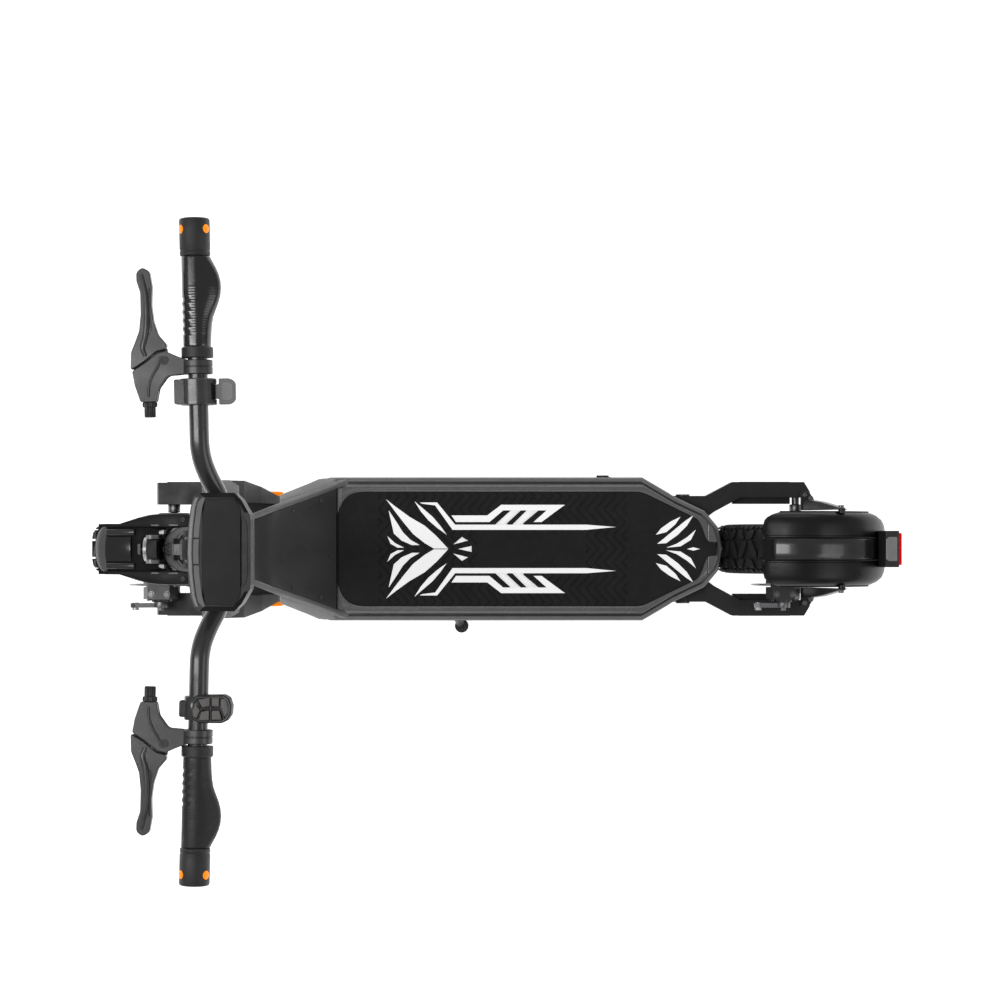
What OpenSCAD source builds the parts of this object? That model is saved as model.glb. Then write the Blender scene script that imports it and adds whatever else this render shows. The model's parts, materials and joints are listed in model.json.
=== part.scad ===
// Off-road electric kick scooter with leading-link and trailing-arm suspension.
// Millimetres, +Z up, front of the vehicle towards -X, rider's right towards +Y.
// Origin: on the ground, at the centre of the overall footprint.

/* [Wheels] */
// Outside radius of both tyres
tyre_r = 128; // [126:1:128]
// Width of the tyres
tyre_w = 77; // [70:1:78]
// Distance of the front axle ahead of the origin
front_axle_x = -502; // [-503:0.5:-501]
// Distance of the rear axle behind the origin
rear_axle_x = 479; // [478:0.5:480]
// Brake disc radius
disc_r = 70; // [60:1:72]

/* [Deck] */
// Overall width of the deck
deck_w = 222; // [216:2:226]
// Height of the underside of the deck box
deck_bottom = 118; // [116:1:120]
// Height of the top edge of the deck box
deck_top = 192; // [190:1:194]
// Thickness of the rubber foot mat
mat_t = 4; // [3:0.5:5]

/* [Steering] */
// Backward lean of the steering axis in degrees
lean = 11; // [10.5:0.5:11.5]
// Width of the handlebar tips, end to end
bar_w = 754; // [740:2:760]
// Diameter of the handlebar tube
bar_d = 22.2; // [22.2:0.1:22.4]
// Width of the square stem tube
stem_w = 36; // [32:1:36]

/* [Hidden] */
$fn = 48;
AX = -423; AZ = 450;            // a point on the steering axis
FPX = -351; FPZ = 155;          // front suspension pivot
RPX = 300; RPZ = 140;           // rear suspension pivot
wheel_z = 128;
bar_r = bar_d / 2;
hw = deck_w / 2;

// ---------- helpers ----------
module bx(x0, x1, y0, y1, z0, z1) translate([x0, y0, z0]) cube([x1 - x0, y1 - y0, z1 - z0]);
module cy(x, z, r, y0, y1) translate([x, y1, z]) rotate([90, 0, 0]) cylinder(r = r, h = y1 - y0);
module cz(x, y, r, z0, z1) translate([x, y, z0]) cylinder(r = r, h = z1 - z0);
module cx(y, z, r, x0, x1) translate([x0, y, z]) rotate([0, 90, 0]) cylinder(r = r, h = x1 - x0);
module pxz(p, y0, y1) translate([0, y1, 0]) rotate([90, 0, 0]) linear_extrude(y1 - y0) polygon(p);
module pxy(p, z0, z1) translate([0, 0, z0]) linear_extrude(z1 - z0) polygon(p);
module both() { children(); mirror([0, 1, 0]) children(); }
module steer() translate([AX, 0, AZ]) rotate([0, lean, 0]) children();
// local frame of the right half of the bar: y is the distance from the middle plane
module onbar() translate([-328, 130, 1150]) rotate([1.39, 0, 1.16]) translate([0, -130, 0]) children();
module turned(x, z) translate([x, 0, z]) rotate([90, 0, 0]) rotate_extrude() children();
function sym(p) = concat(p, [for (i = [len(p) - 1:-1:0]) if (p[i][1] > 0) [p[i][0], -p[i][1]]]);
module seg(p, q, r) {
  d = q - p; l = norm(d);
  translate(p) rotate([0, acos(d[2] / l), atan2(d[1], d[0])]) cylinder(r = r, h = l);
}
// coil of round wire: closed tube swept up a helix
module coil(x, y, z0, z1, r, wire, turns) {
  n = turns * 12; k = 6;
  pts = [for (i = [0:n]) let (a = i * 30, z = z0 + wire + (z1 - z0 - 2 * wire) * i / n)
    for (j = [0:k - 1]) let (b = j * 360 / k, rr = r + wire * cos(b)) [x + rr * cos(a), y + rr * sin(a), z + wire * sin(b)]];
  faces = concat([[for (j = [0:k - 1]) j]], [[for (j = [k - 1:-1:0]) n * k + j]],
    [for (i = [0:n - 1]) for (j = [0:k - 1]) let (a = i * k + j, b = i * k + (j + 1) % k) [a, a + k, b]],
    [for (i = [0:n - 1]) for (j = [0:k - 1]) let (a = i * k + j, b = i * k + (j + 1) % k) [b, a + k, b + k]]);
  polyhedron(pts, faces);
}

// ---------- outlines ----------
// deck outline in plan, drawn in by d
function deck(d) = sym([[-292, 90 - d], [-262, hw - 3 - d], [-250, hw - d], [233, hw - d], [283, 81.5 - d * 0.95],
  [330, 59 - d * 0.95], [352 - d * 0.35, 33 - d * 0.6], [357 - d, 0]]);
function tub(d, xe) = sym([[-292 + d, 90 - d], [-262, hw - 3 - d], [-250, hw - d], [233, hw - d], [xe, (xe < 283 ? hw - (xe - 233) * 0.59 : 81.5) - d]]);

module deck_tub() color([0.40, 0.40, 0.41]) difference() {
  union() {
    pxy(tub(0, 276), deck_bottom, deck_top);
    // upper part carried on over the rear suspension
    pxy(sym([[270, 88], [283, 81.5], [330, 59], [337, 48]]), 172, deck_top);
    // rear pivot lugs
    both() pxz([[270, 122], [300, 122], [318, 132], [318, 173], [270, 173]], 38, 48);
    kickstand_bracket();
  }
  pxy(tub(4, 271), deck_bottom + 4, 186);
  pxy(tub(10.5, 272), 180, 200);
  pxy(sym([[260, 84], [283, 71.5], [326, 50], [333, 44]]), 186, 200);
  cy(RPX, RPZ, 8.05, -60, 60);
  // charge socket hole and its plug seat
  cy(175, 156, 6, 100, 120);
  // screw holes through the floor
  for (x = [-230, -125, 70, 220]) both() cz(x, 84, 2.6, 110, 124);
}

module deck_rim() color([0.44, 0.44, 0.45]) difference() {
  union() {
    pxy(sym([[-240, 94.2], [-235, 96.4], [-221.6, 96.4], [-221.6, 100.2], [233, 100.2], [283, 70.9], [326, 49.4], [333, 43.4]]), 186.1, 193);
    pxy(sym([[-240, 94.2], [-235, 96.4], [-221.6, 96.4], [-221.6, 100.2], [233, 100.2], [283, 70.9], [330, 50], [348, 30], [357, 0]]), 192.1, 196);
  }
  pxy(sym([[-236, 60], [-228, 80], [-210, 88.7], [233, 88.7], [324, 45.2], [338, 9.2], [348, 8.5]]), 194, 200);
}

module deck_mat() color([0.15, 0.15, 0.15])
  pxy(sym([[-236, 60], [-228, 80], [-210, 88.4], [233, 88.4], [324, 45], [338, 9], [347, 8]]), 194.1, 194.1 + mat_t);

module neck_frame() color([0.42, 0.42, 0.43]) difference() {
  union() {
    intersection() {
      pxz([[-446, 384], [-418, 378], [-360, 360], [-328, 332], [-300, 292], [-262, 236], [-238, 206], [-222, 192.2],
        [-291.5, 192.2], [-296, 236], [-309, 257], [-327, 306], [-440, 306]], -115, 115);
      pxy(sym([[-450, 20], [-424, 23], [-410, 30], [-354, 53], [-235, 106], [-222, 108]]), 180, 420);
    }
    // lower flare of the side walls
    intersection() {
      pxz([[-318, 294], [-290, 262], [-262, 222], [-240, 192.2], [-287, 192.2], [-291, 236], [-304, 260]], -115, 115);
      pxy(sym([[-330, 70], [-320, 81], [-282, 99], [-266, 107.5], [-258, 109], [-240, 109]]), 180, 420);
    }
    steer() translate([0, 0, -146]) cylinder(r = 27, h = 88);
  }
  // trough under the cover
  intersection() {
    pxz([[-403, 420], [-403, 362.9], [-360, 348], [-334, 326], [-308, 284], [-270, 228], [-247, 200], [-230, 180], [-200, 180], [-200, 420]], -115, 115);
    pxy(sym([[-403, 22.1], [-354, 44], [-235, 97], [-200, 111]]), 180, 430);
  }
  steer() translate([0, 0, -150]) { cylinder(r = 17, h = 100); translate([0, 0, 3.9]) cylinder(r = 22.05, h = 9.1); translate([0, 0, 83]) cylinder(r = 22.05, h = 12); }
}

module neck_cover() color([0.07, 0.07, 0.08]) intersection() {
  pxz([[-402.7, 370.4], [-402.7, 363.1], [-360, 348.3], [-333.6, 326.3], [-307.6, 284.3], [-269.6, 228.3], [-246.6, 200.3], [-240.5, 192.5],
    [-240.5, 205], [-262, 231], [-300, 287], [-328, 327.5], [-360, 355.5]], -115, 115);
  pxy(sym([[-402.7, 21.9], [-354, 43.7], [-241, 94]]), 180, 430);
}

module headset_bearings() color([0.7, 0.7, 0.72]) steer() {
  translate([0, 0, -146]) difference() { cylinder(r = 22, h = 9); translate([0, 0, -1]) cylinder(r = 15.05, h = 12); }
  translate([0, 0, -67]) difference() { cylinder(r = 22, h = 9); translate([0, 0, -1]) cylinder(r = 15.05, h = 12); }
}

module battery_pack() color([0.15, 0.25, 0.45]) union() {
  bx(-180, 240, -78, 78, 123, 180);
  bx(-188, -180, -30, 30, 135, 160);
}

module motor_controller() color([0.6, 0.6, 0.62]) difference() {
  bx(-270, -200, -62, 62, 123, 160);
  for (y = [-54:12:54]) bx(-264, -206, y, y + 6, 148, 161);
}

module deck_screws() color([0.6, 0.6, 0.62])
  for (x = [-230, -125, 70, 220]) both() { cz(x, 84, 5, 115, deck_bottom); cz(x, 84, 2.5, 116, 126); }

// welded bracket that holds the stand's pivot pin
module kickstand_bracket() difference() {
  union() {
    bx(-92, -48, -98, -56, 113, 118.5);
    translate([-70, -85, 105]) rotate([67.7, 0, 0]) { translate([0, 0, 6.4]) cylinder(r = 9, h = 5); translate([0, 0, -11.4]) cylinder(r = 9, h = 5); translate([0, 0, -11.4]) cylinder(r = 3.5, h = 22.8); }
    bx(-79, -61, -97, -89, 107, 114);
    bx(-79, -61, -81, -73, 104, 114);
  }
  translate([-70, -85, 105]) rotate([67.7, 0, 0]) difference() { translate([0, 0, -6.4]) cylinder(r = 14, h = 12.8); translate([0, 0, -7]) cylinder(r = 3.5, h = 14); }
}

module rear_pivot_bolt() color([0.6, 0.6, 0.62]) union() {
  cy(RPX, RPZ, 8, -83.4, 83.4);
  both() cy(RPX, RPZ, 11, 83.3, 85.6);
}

// ---------- fork group ----------
module fork_frame() color([0.38, 0.38, 0.39]) union() {
  difference() {
    union() {
      // crown plate under the head tube
      pxy(sym([[-486, 24], [-478, 33], [-440, 42], [-436, 60], [-436, 102], [-430, 104], [-396, 104], [-386, 97], [-386, 0]]), 286, 299);
      // side legs from the crown to the pivot
      both() pxz([[-436, 299], [-392, 299], [-374, 283], [-352, 240], [-331, 172], [-328.5, 155], [-351, 133], [-373, 148], [-381, 200], [-402, 262], [-436, 262]], 70.5, 82.5);
      // outer face of each leg, sloping out from the pivot to the crown
      both() intersection() {
        pxz([[-402, 299], [-392, 299], [-374, 283], [-352, 240], [-331, 172], [-374, 172], [-381, 200], [-402, 262]], 80, 105);
        translate([-420, 0, 0]) rotate([90, 0, 90]) linear_extrude(110) polygon([[80, 172], [82.5, 178], [103.5, 282], [103.5, 299], [80, 299]]);
      }
      both() pxy([[-436, 70], [-436, 102], [-430, 104], [-394, 104], [-380, 95], [-380, 70]], 270, 299);
      // spring seats under the crown
      both() cz(-418, 86, 15, 262, 290);
      // cross plate behind the tyre
      intersection() {
        pxz([[-386, 246], [-381, 250], [-343, 190], [-349, 186]], -82, 82);
        bx(-400, -340, -83, 83, 150, 300);
      }
    }
    both() cy(FPX, FPZ, 6.05, 60, 110);
  }
  // steerer tube, welded into the crown
  steer() translate([0, 0, -158]) cylinder(r = 15, h = 130);
}

module head_cover() color([0.28, 0.28, 0.29]) union() {
  head_shell();
  // feet that stand on the crown
  both() bx(-468, -452, 30, 33, 299.05, 313);
}
module head_shell() steer() difference() {
  intersection() {
    translate([0, 0, -147]) union() {
      cylinder(r = 33.5, h = 86);
      translate([-10, 0, 0]) cylinder(r = 33, h = 78);
      bxl(-10, 0, -33, 33, 0, 78);
    }
    translate([-60, -60, -160]) cube([54, 120, 120]);
  }
  translate([0, 0, -170]) cylinder(r = 29.5, h = 140);
  translate([-70, 0, -88]) rotate([0, 90, 0]) cylinder(r = 2.5, h = 40);
}
module bxl(x0, x1, y0, y1, z0, z1) translate([x0, y0, z0]) cube([x1 - x0, y1 - y0, z1 - z0]);

module front_fender() color([0.08, 0.08, 0.085]) difference() {
  union() {
    translate([front_axle_x, 0, wheel_z]) rotate([90, 0, 0]) rotate([0, 0, 88]) rotate_extrude(angle = 39)
      polygon([[160, -38.5], [165, -38.5], [168, -34], [169.5, -24], [167, -22], [167, 22], [169.5, 24], [168, 34], [165, 38.5], [160, 38.5], [163, 34], [163, -34]]);
    // cowl wings either side of the head tube
    both() pxz([[-560, 284], [-506, 300], [-487, 310], [-450, 312], [-442, 299.4], [-487, 299.4], [-500, 291], [-560, 279]], 35, 53.5);
    both() bx(-506, -487, 30, 40, 294, 306);
    bx(-520, -487, -34, 34, 299.4, 304);
  }
  both() pxy([[-562, 60], [-562, 39.4], [-508, 53.1], [-430, 53.1], [-430, 60]], 200, 400);
  both() cz(-470, 42, 2.6, 290, 320);
}

module headlight_housing() color([0.33, 0.33, 0.34]) difference() {
  pxz([[-517, 304.1], [-490, 304.1], [-494.5, 311], [-494.5, 344], [-506, 352], [-513, 346]], -21, 21);
  cx(0, 326, 15.2, -530, -498);
}
module headlight_lens() color([0.85, 0.88, 0.9]) cx(0, 326, 15, -515, -499);

module side_reflectors() color([1, 0.55, 0]) both() cy(FPX, FPZ, 22.5, 82.6, 89.5);

module front_pivot_bolts() color([0.5, 0.5, 0.52]) both() { cy(FPX, FPZ, 6, 56, 82.4); cy(FPX, FPZ, 10, 52.5, 56.4); }

module fold_base() color([0.2, 0.2, 0.21]) steer() difference() {
  union() {
    translate([0, 0, -56]) cylinder(r = 30, h = 50);
    both() translate([-20, 18.3, -8]) cube([40, 9, 28]);
    both() translate([0, 27.3, 18]) rotate([90, 0, 0]) cylinder(r = 20, h = 9);
    both() translate([-33, 8, -34]) cube([12, 8, 18]);
  }
  translate([0, 0, -70]) cylinder(r = 15.1, h = 42);
  translate([-40, -8, -40]) cube([14.6, 16, 40]);
  translate([0, 40, 18]) rotate([90, 0, 0]) cylinder(r = 6.05, h = 80);
  translate([-30.5, 30, -24]) rotate([90, 0, 0]) cylinder(r = 2.55, h = 60);
}
module fold_pin() color([0.6, 0.6, 0.62]) steer() union() {
  translate([0, 27.3, 18]) rotate([90, 0, 0]) cylinder(r = 6, h = 54.6);
  both() translate([0, 30.3, 18]) rotate([90, 0, 0]) cylinder(r = 10, h = 3);
}

// ---------- stem group ----------
module stem_tube() color([0.2, 0.2, 0.21]) difference() {
  steer() union() {
    translate([0, stem_w / 2, 18]) rotate([90, 0, 0]) cylinder(r = 19.5, h = stem_w);
    translate([-19.5, -stem_w / 2, 18]) cube([39, stem_w, 648]);
    translate([-5.7, 28, 679.4]) rotate([90, 0, 0]) cylinder(r = 18, h = 56);
    translate([-21, -stem_w / 2, 655]) cube([36, stem_w, 24]);
  }
  steer() translate([-14.5, -stem_w / 2 + 4, 60]) cube([29, stem_w - 8, 590]);
  steer() translate([0, 30, 18]) rotate([90, 0, 0]) cylinder(r = 6.07, h = 60);
  steer() translate([-30, -9, 46]) cube([16, 18, 10]);
  cy(-299, 1118, bar_r, -40, 40);
}

function barp() = [[-299, 0, 1118], [-300, 25, 1118], [-311, 68, 1130], [-319, 84, 1138], [-326, 104, 1146], [-328, 130, 1150]];
module handlebar() color([0.2, 0.2, 0.2]) union() {
  cy(-299, 1118, bar_r, -31, 31);
  both() {
    translate([-299, 31, 1118]) sphere(r = bar_r + 0.2);
    seg([-299, 31, 1118], [-309, 64, 1128], bar_r); translate([-309, 64, 1128]) sphere(r = bar_r + 0.2);
    seg([-309, 64, 1128], [-319, 86, 1139], bar_r); translate([-319, 86, 1139]) sphere(r = bar_r + 0.2);
    seg([-319, 86, 1139], [-326, 106, 1146.5], bar_r); translate([-326, 106, 1146.5]) sphere(r = bar_r + 0.2);
    seg([-326, 106, 1146.5], [-328, 130, 1150], bar_r); translate([-328, 130, 1150]) sphere(r = bar_r + 0.2);
    onbar() difference() {
      translate([0, bar_w / 2 - 5, 0]) rotate([90, 0, 0]) cylinder(r = bar_r, h = bar_w / 2 - 5 - 130);
      translate([0, bar_w / 2, 0]) rotate([90, 0, 0]) cylinder(r = 8.6, h = 150);
    }
  }
}

module cyb(r, y0, y1, x = 0, z = 0) translate([x, y1, z]) rotate([90, 0, 0]) cylinder(r = r, h = y1 - y0);

module handle_grips() color([0.13, 0.13, 0.13]) both() onbar() difference() {
  union() {
    cyb(17.5, 221, 231.5); cyb(15.8, 231, 334);
    translate([0, 0, -7]) linear_extrude(14) polygon([[5, 232], [14, 240], [17, 252], [22, 270], [27, 286], [28.5, 299], [27, 314], [21, 328], [14, 334], [5, 334]]);
    translate([0, 0, -11]) linear_extrude(22) polygon([[5, 236], [14, 250], [18, 270], [22, 288], [23, 299], [21, 314], [16, 326], [5, 332]]);
  }
  cyb(bar_r + 0.02, 200, 340);
}

module bar_end_lamps() color([0.14, 0.14, 0.14]) both() onbar() union() {
  difference() { cyb(17.3, 334.4, bar_w / 2); cyb(bar_r + 0.02, 330, bar_w / 2 - 4.9); }
  cyb(8.5, 340, bar_w / 2 - 4);
}

module display_housing() color([0.12, 0.12, 0.12]) difference() {
  union() {
    pxy(sym([[-337, 0], [-336, 25], [-333, 50], [-329, 62], [-324, 66], [-284, 66], [-276, 58], [-267, 42], [-266, 36]]), 1146, 1187);
    bx(-322, -280, -29, 29, 1137, 1147);
  }
  pxy(sym([[-319.5, 58.5], [-290, 58.5], [-278, 45], [-274, 30]]), 1184, 1190);
  pxy(sym([[-331, 14], [-329, 50], [-323.5, 50]]), 1184, 1190);
  cy(-299, 1118, 24, -35, 35);
}
module display_screen() color([0.05, 0.05, 0.055]) union() {
  pxy(sym([[-319.2, 58.2], [-290, 58.2], [-278, 44.8], [-274.3, 29.8]]), 1184, 1188);
  pxy(sym([[-330.7, 14], [-328.8, 49.7], [-323.8, 49.7]]), 1184, 1187.5);
}

PV = [-37, 217];      // lever pivot in bar coordinates
module perch_shape() {
  polygon([[-9, 201], [-9, 217], [-24, 222], [-36, 227], [-44, 224], [-58, 213], [-73, 204], [-71, 190], [-65, 170], [-46, 170], [-43, 186], [-33, 199]]);
}
module brake_perches() color([0.25, 0.25, 0.26]) both() onbar() difference() {
  union() {
    cyb(17, 201, 217);
    translate([0, 0, -8]) linear_extrude(16) perch_shape();
    cyb(8, 164, 170.5, -55); cyb(6, 153, 165, -55);
    translate([-30, 216, -6]) cube([8, 6, 12]);
  }
  cyb(bar_r + 0.02, 190, 230);
  // slot for the lever tongue
  translate([-90, 196, -4]) cube([68, 40, 8]);
  translate([PV[0], PV[1], -20]) cylinder(r = 3.05, h = 40);
}
module lever_pivot_screws() color([0.6, 0.6, 0.62]) both() onbar() translate([PV[0], PV[1], -8]) { cylinder(r = 3, h = 16); translate([0, 0, 16]) cylinder(r = 5, h = 2.5); }

module brake_lever() onbar() difference() {
  union() {
    difference() {
      translate([0, 0, -5.5]) linear_extrude(11) polygon([[-74, 206], [-73, 228], [-65, 250], [-62, 270], [-62, 294], [-66, 308], [-65, 318], [-58, 323],
        [-51, 317], [-49, 300], [-50, 280], [-48, 262], [-43, 243], [-33, 231], [-30, 226], [-40, 226], [-58, 214]]);
      translate([0, 0, -9]) linear_extrude(18) polygon([[-9, 199], [-9, 218], [-24, 224], [-36, 229.5], [-45.5, 226.5], [-59, 215], [-76, 205], [-76, 190]]);
      translate([PV[0], PV[1], -10]) cylinder(r = 12, h = 20);
    }
    translate([PV[0], PV[1], -3.4]) cylinder(r = 8.5, h = 6.8);
    translate([0, 0, -3.4]) linear_extrude(6.8) polygon([[-45, 212], [-60, 214], [-68, 226], [-56, 240], [-44, 236], [-32, 224]]);
  }
  translate([PV[0], PV[1], -10]) cylinder(r = 3.06, h = 20);
}
module right_brake_lever() color([0.26, 0.26, 0.27]) brake_lever();
module left_brake_lever() color([0.26, 0.26, 0.27]) mirror([0, 1, 0]) brake_lever();

module throttle_body() color([0.18, 0.18, 0.18]) onbar() difference() {
  union() { cyb(21, 166, 196); translate([-24, 168, -8]) cube([10, 26, 16]); }
  cyb(bar_r + 0.02, 160, 200);
  difference() { cyb(30, 172.5, 189.5); cyb(14.5, 160, 200); translate([-40, 160, -30]) cube([36, 40, 60]); }
}
module throttle_paddle() color([0.47, 0.47, 0.48]) onbar() union() {
  difference() {
    intersection() { cyb(20.5, 173, 189); translate([2, 160, -12]) cube([30, 40, 24]); }
    cyb(14.9, 160, 200);
  }
  difference() {
    translate([0, 0, -4]) linear_extrude(8) polygon([[19, 173], [22.5, 173], [22.5, 166.5], [37, 166], [41, 169], [42, 174], [42, 188], [41, 193], [37, 196], [22.5, 195.5], [22.5, 189], [19, 189]]);
    cyb(21.3, 160, 172.9); cyb(21.3, 189.1, 200);
  }
}

module left_on() mirror([0, 1, 0]) onbar() children();
KEYS = [[[2, 166.5], [15, 164], [15, 173.7], [6.7, 175]],
  [[17.4, 164], [25.6, 164], [25.6, 173.7], [17.4, 173.7]],
  [[27.8, 165], [32.6, 165], [35.8, 174], [35.6, 181], [32, 185.4], [27.8, 174]],
  [[-1, 171], [4.2, 178.6], [0.4, 187.7], [-3.3, 185], [-3.8, 178.4]],
  [[6, 179.8], [14.6, 178.4], [14.6, 189.2], [3.2, 189.5]],
  [[17.6, 178.6], [26, 178.4], [28.8, 188.2], [17.6, 188.7]]];
module key_solid(i) color([0.37, 0.36, 0.36]) left_on() translate([0, 0, 14.6]) linear_extrude(5) polygon(KEYS[i]);
module keypad_body() color([0.2, 0.2, 0.2]) left_on() difference() {
  union() {
    cyb(14, 163, 190);
    translate([0, 0, -12]) linear_extrude(30) polygon([[-2, 161.5], [30, 160.5], [36, 164], [39, 173], [38.5, 183], [34, 190], [28, 193], [2, 193.5], [-5, 189], [-7, 180], [-6, 169]]);
  }
  cyb(bar_r + 0.02, 150, 200);
  for (i = [0:5]) translate([0, 0, 13.2]) linear_extrude(10) offset(delta = 0.35) polygon(KEYS[i]);
}
module key_1() key_solid(0);
module key_2() key_solid(1);
module key_3() key_solid(2);
module key_4() key_solid(3);
module key_5() key_solid(4);
module key_6() key_solid(5);

module fold_latch() color([0.3, 0.3, 0.31]) steer() difference() {
  union() {
    translate([-30.5, 7.6, -24]) rotate([90, 0, 0]) cylinder(r = 4.5, h = 15.2);
    translate([0, 7.6, 0]) rotate([90, 0, 0]) linear_extrude(15.2) polygon([[-34.9, -24], [-30, -20], [-27, 0], [-20.6, 20], [-20.6, 100], [-25, 104], [-27.5, 96], [-27, 30], [-33, 0]]);
    translate([-21, -7.6, 47.5]) cube([5, 15.2, 6]);
    translate([-27.5, -14, 66]) cube([6.5, 28, 38]);
  }
  translate([-30.5, 30, -24]) rotate([90, 0, 0]) cylinder(r = 2.6, h = 60);
}

module kickstand() color([0.12, 0.12, 0.12]) difference() {
  union() {
    translate([-70, -85, 105]) rotate([67.7, 0, 0]) translate([0, 0, -6.2]) cylinder(r = 8.5, h = 12.4);
    seg([-70, -85, 105], [-51, -124, 13], 6);
    intersection() { translate([-50, -126, 0]) cylinder(r = 11, h = 14); bx(-70, -30, -140, -110, 0, 14); }
  }
  translate([-70, -85, 105]) rotate([67.7, 0, 0]) translate([0, 0, -20]) cylinder(r = 3.6, h = 40);
}
module charge_port_cap() color([0.1, 0.1, 0.1]) union() { cy(175, 156, 8, hw + 0.1, hw + 4); cy(175, 156, 5, 109, hw + 1); bx(165.5, 169, hw + 0.6, hw + 3.4, 152, 160); cz(165.5, hw + 2.4, 2, 151, 161); }

// ---------- front suspension ----------
module arm_bores(px, pz, ax, r) { both() cy(px, pz, r, 30, 120); both() cy(ax, wheel_z, 6.06, 40, 120); both() cy(ax, wheel_z, 12, 94, 120); }
module front_swing_arm() color([0.09, 0.09, 0.09]) difference() {
  both() union() {
    pxz([[-352, 177], [-374, 170], [-400, 158], [-425, 154], [-425, 112], [-403, 118], [-370, 130], [-352, 133]], 56.5, 70);
    cy(FPX, FPZ, 22, 56.5, 70);
    pxz([[-403, 157], [-440, 152], [-524, 149], [-529, 128], [-524, 107], [-440, 110], [-403, 120]], 69.9, 104);
    pxz([[-403, 157], [-425, 153], [-425, 111], [-403, 119]], 56.5, 75);
    cz(-418, 86, 14, 146, 166);
  }
  arm_bores(FPX, FPZ, front_axle_x, 6.07);
}
module axle_set(x) union() {
  cy(x, wheel_z, 6, -100, 100);
  both() cy(x, wheel_z, 9.5, 57.5, 69.9);
  both() translate([x, 100, wheel_z]) rotate([90, 0, 0]) cylinder(r = 10.5, h = 5.8, $fn = 6);
}
module front_axle() color([0.55, 0.55, 0.57]) axle_set(front_axle_x);
module front_springs() color([0.75, 0.3, 0.1]) both() coil(-418, 86, 166.5, 261.5, 10.2, 2.2, 7);
// disc brake caliper: body straddling the disc, bolted to the left arm
module caliper(x, zb) difference() {
  union() {
    pxz([[x - 24, 168], [x + 22, 168], [x + 26, 190], [x + 16, 208], [x - 18, 208], [x - 27, 190]], -78, -47);
    pxz([[x - 14, zb], [x + 14, zb], [x + 18, 170], [x - 18, 170]], -79.5, -70.6);
    cy(x, 190, 14, -82, -77);
  }
  // slot for the disc
  bx(x - 60, x + 60, -59.3, -53.7, 120, 202);
  cy(x, 190, 5.05, -90, -60);
}
module brake_arm(x, sx) difference() {
  union() {
    cy(x, 190, 5, -87, -62);
    cy(x, 190, 11, -91, -82.4);
    pxz([[x - 9 * sx, 196], [x + 9 * sx, 184], [x - 18 * sx, 178], [x - 42 * sx, 186], [x - 46 * sx, 196], [x - 38 * sx, 200]], -91, -84);
  }
  cy(x - 39 * sx, 191, 3, -95, -80);
}
module front_caliper() color([0.25, 0.25, 0.26]) caliper(-514, 150.1);
module front_brake_arm() color([0.45, 0.45, 0.47]) brake_arm(-514, 1);

// ---------- wheels ----------
TYP = [[77, 24], [77, 30], [85, 30], [88, 34], [94, 37], [102, tyre_w / 2], [113, tyre_w / 2 - 0.5], [121, 33.5], [126.5, 25], [tyre_r, 15]];
module tyre(x) turned(x, wheel_z) polygon(concat([for (p = TYP) [p[0], -p[1]]], [for (i = [len(TYP) - 1:-1:0]) TYP[i]],
  [[92, 30], [108, 31], [117, 22], [119, 0], [117, -22], [108, -31], [92, -30]]));
module rim_barrel() polygon([[72, -29], [72, -33], [84, -33], [84, -30.2], [76.8, -30.2], [76.8, -22], [70, -16], [70, 16], [76.8, 22], [76.8, 30.2], [84, 30.2], [84, 33],
  [72, 33], [72, 29], [66, 20], [66, -20]]);
module front_tyre() color([0.08, 0.08, 0.08]) tyre(front_axle_x);
module front_rim() color([0.3, 0.3, 0.31]) difference() {
  union() {
    turned(front_axle_x, wheel_z) rim_barrel();
    cy(front_axle_x, wheel_z, 24, -53, 56.5);
    cy(front_axle_x, wheel_z, 34, -53, -46);
    difference() {
      cy(front_axle_x, wheel_z, 68, -6, 6);
      for (i = [0:5]) translate([front_axle_x, 0, wheel_z]) rotate([0, i * 60, 0]) translate([45, 20, 0]) rotate([90, 0, 0]) cylinder(r = 15, h = 40);
    }
  }
  cy(front_axle_x, wheel_z, 6.06, -60, 60);
}
module disc(x) difference() {
  cy(x, wheel_z, disc_r, -57.5, -55.5);
  cy(x, wheel_z, 22, -60, -50);
  for (i = [0:11]) translate([x, 0, wheel_z]) rotate([0, i * 30, 0]) translate([60, -50, 0]) rotate([90, 0, 0]) cylinder(r = 3.5, h = 12);
  for (i = [0:5]) translate([x, 0, wheel_z]) rotate([0, i * 60 + 15, 0]) translate([44, -50, 0]) rotate([90, 0, 0]) cylinder(r = 8, h = 12);
}
module disc_assy(x) union() {
  disc(x);
  // spacer ring down to the hub
  difference() { cy(x, wheel_z, 33, -55.6, -53.1); cy(x, wheel_z, 22, -60, -50); }
  for (i = [0:5]) translate([x, 0, wheel_z]) rotate([0, i * 60 + 45, 0]) translate([28, -57.4, 0]) rotate([90, 0, 0]) cylinder(r = 3.2, h = 2.6);
}
module front_brake_disc() color([0.7, 0.7, 0.72]) disc_assy(front_axle_x);
module rear_brake_disc() color([0.7, 0.7, 0.72]) disc_assy(rear_axle_x);

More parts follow.
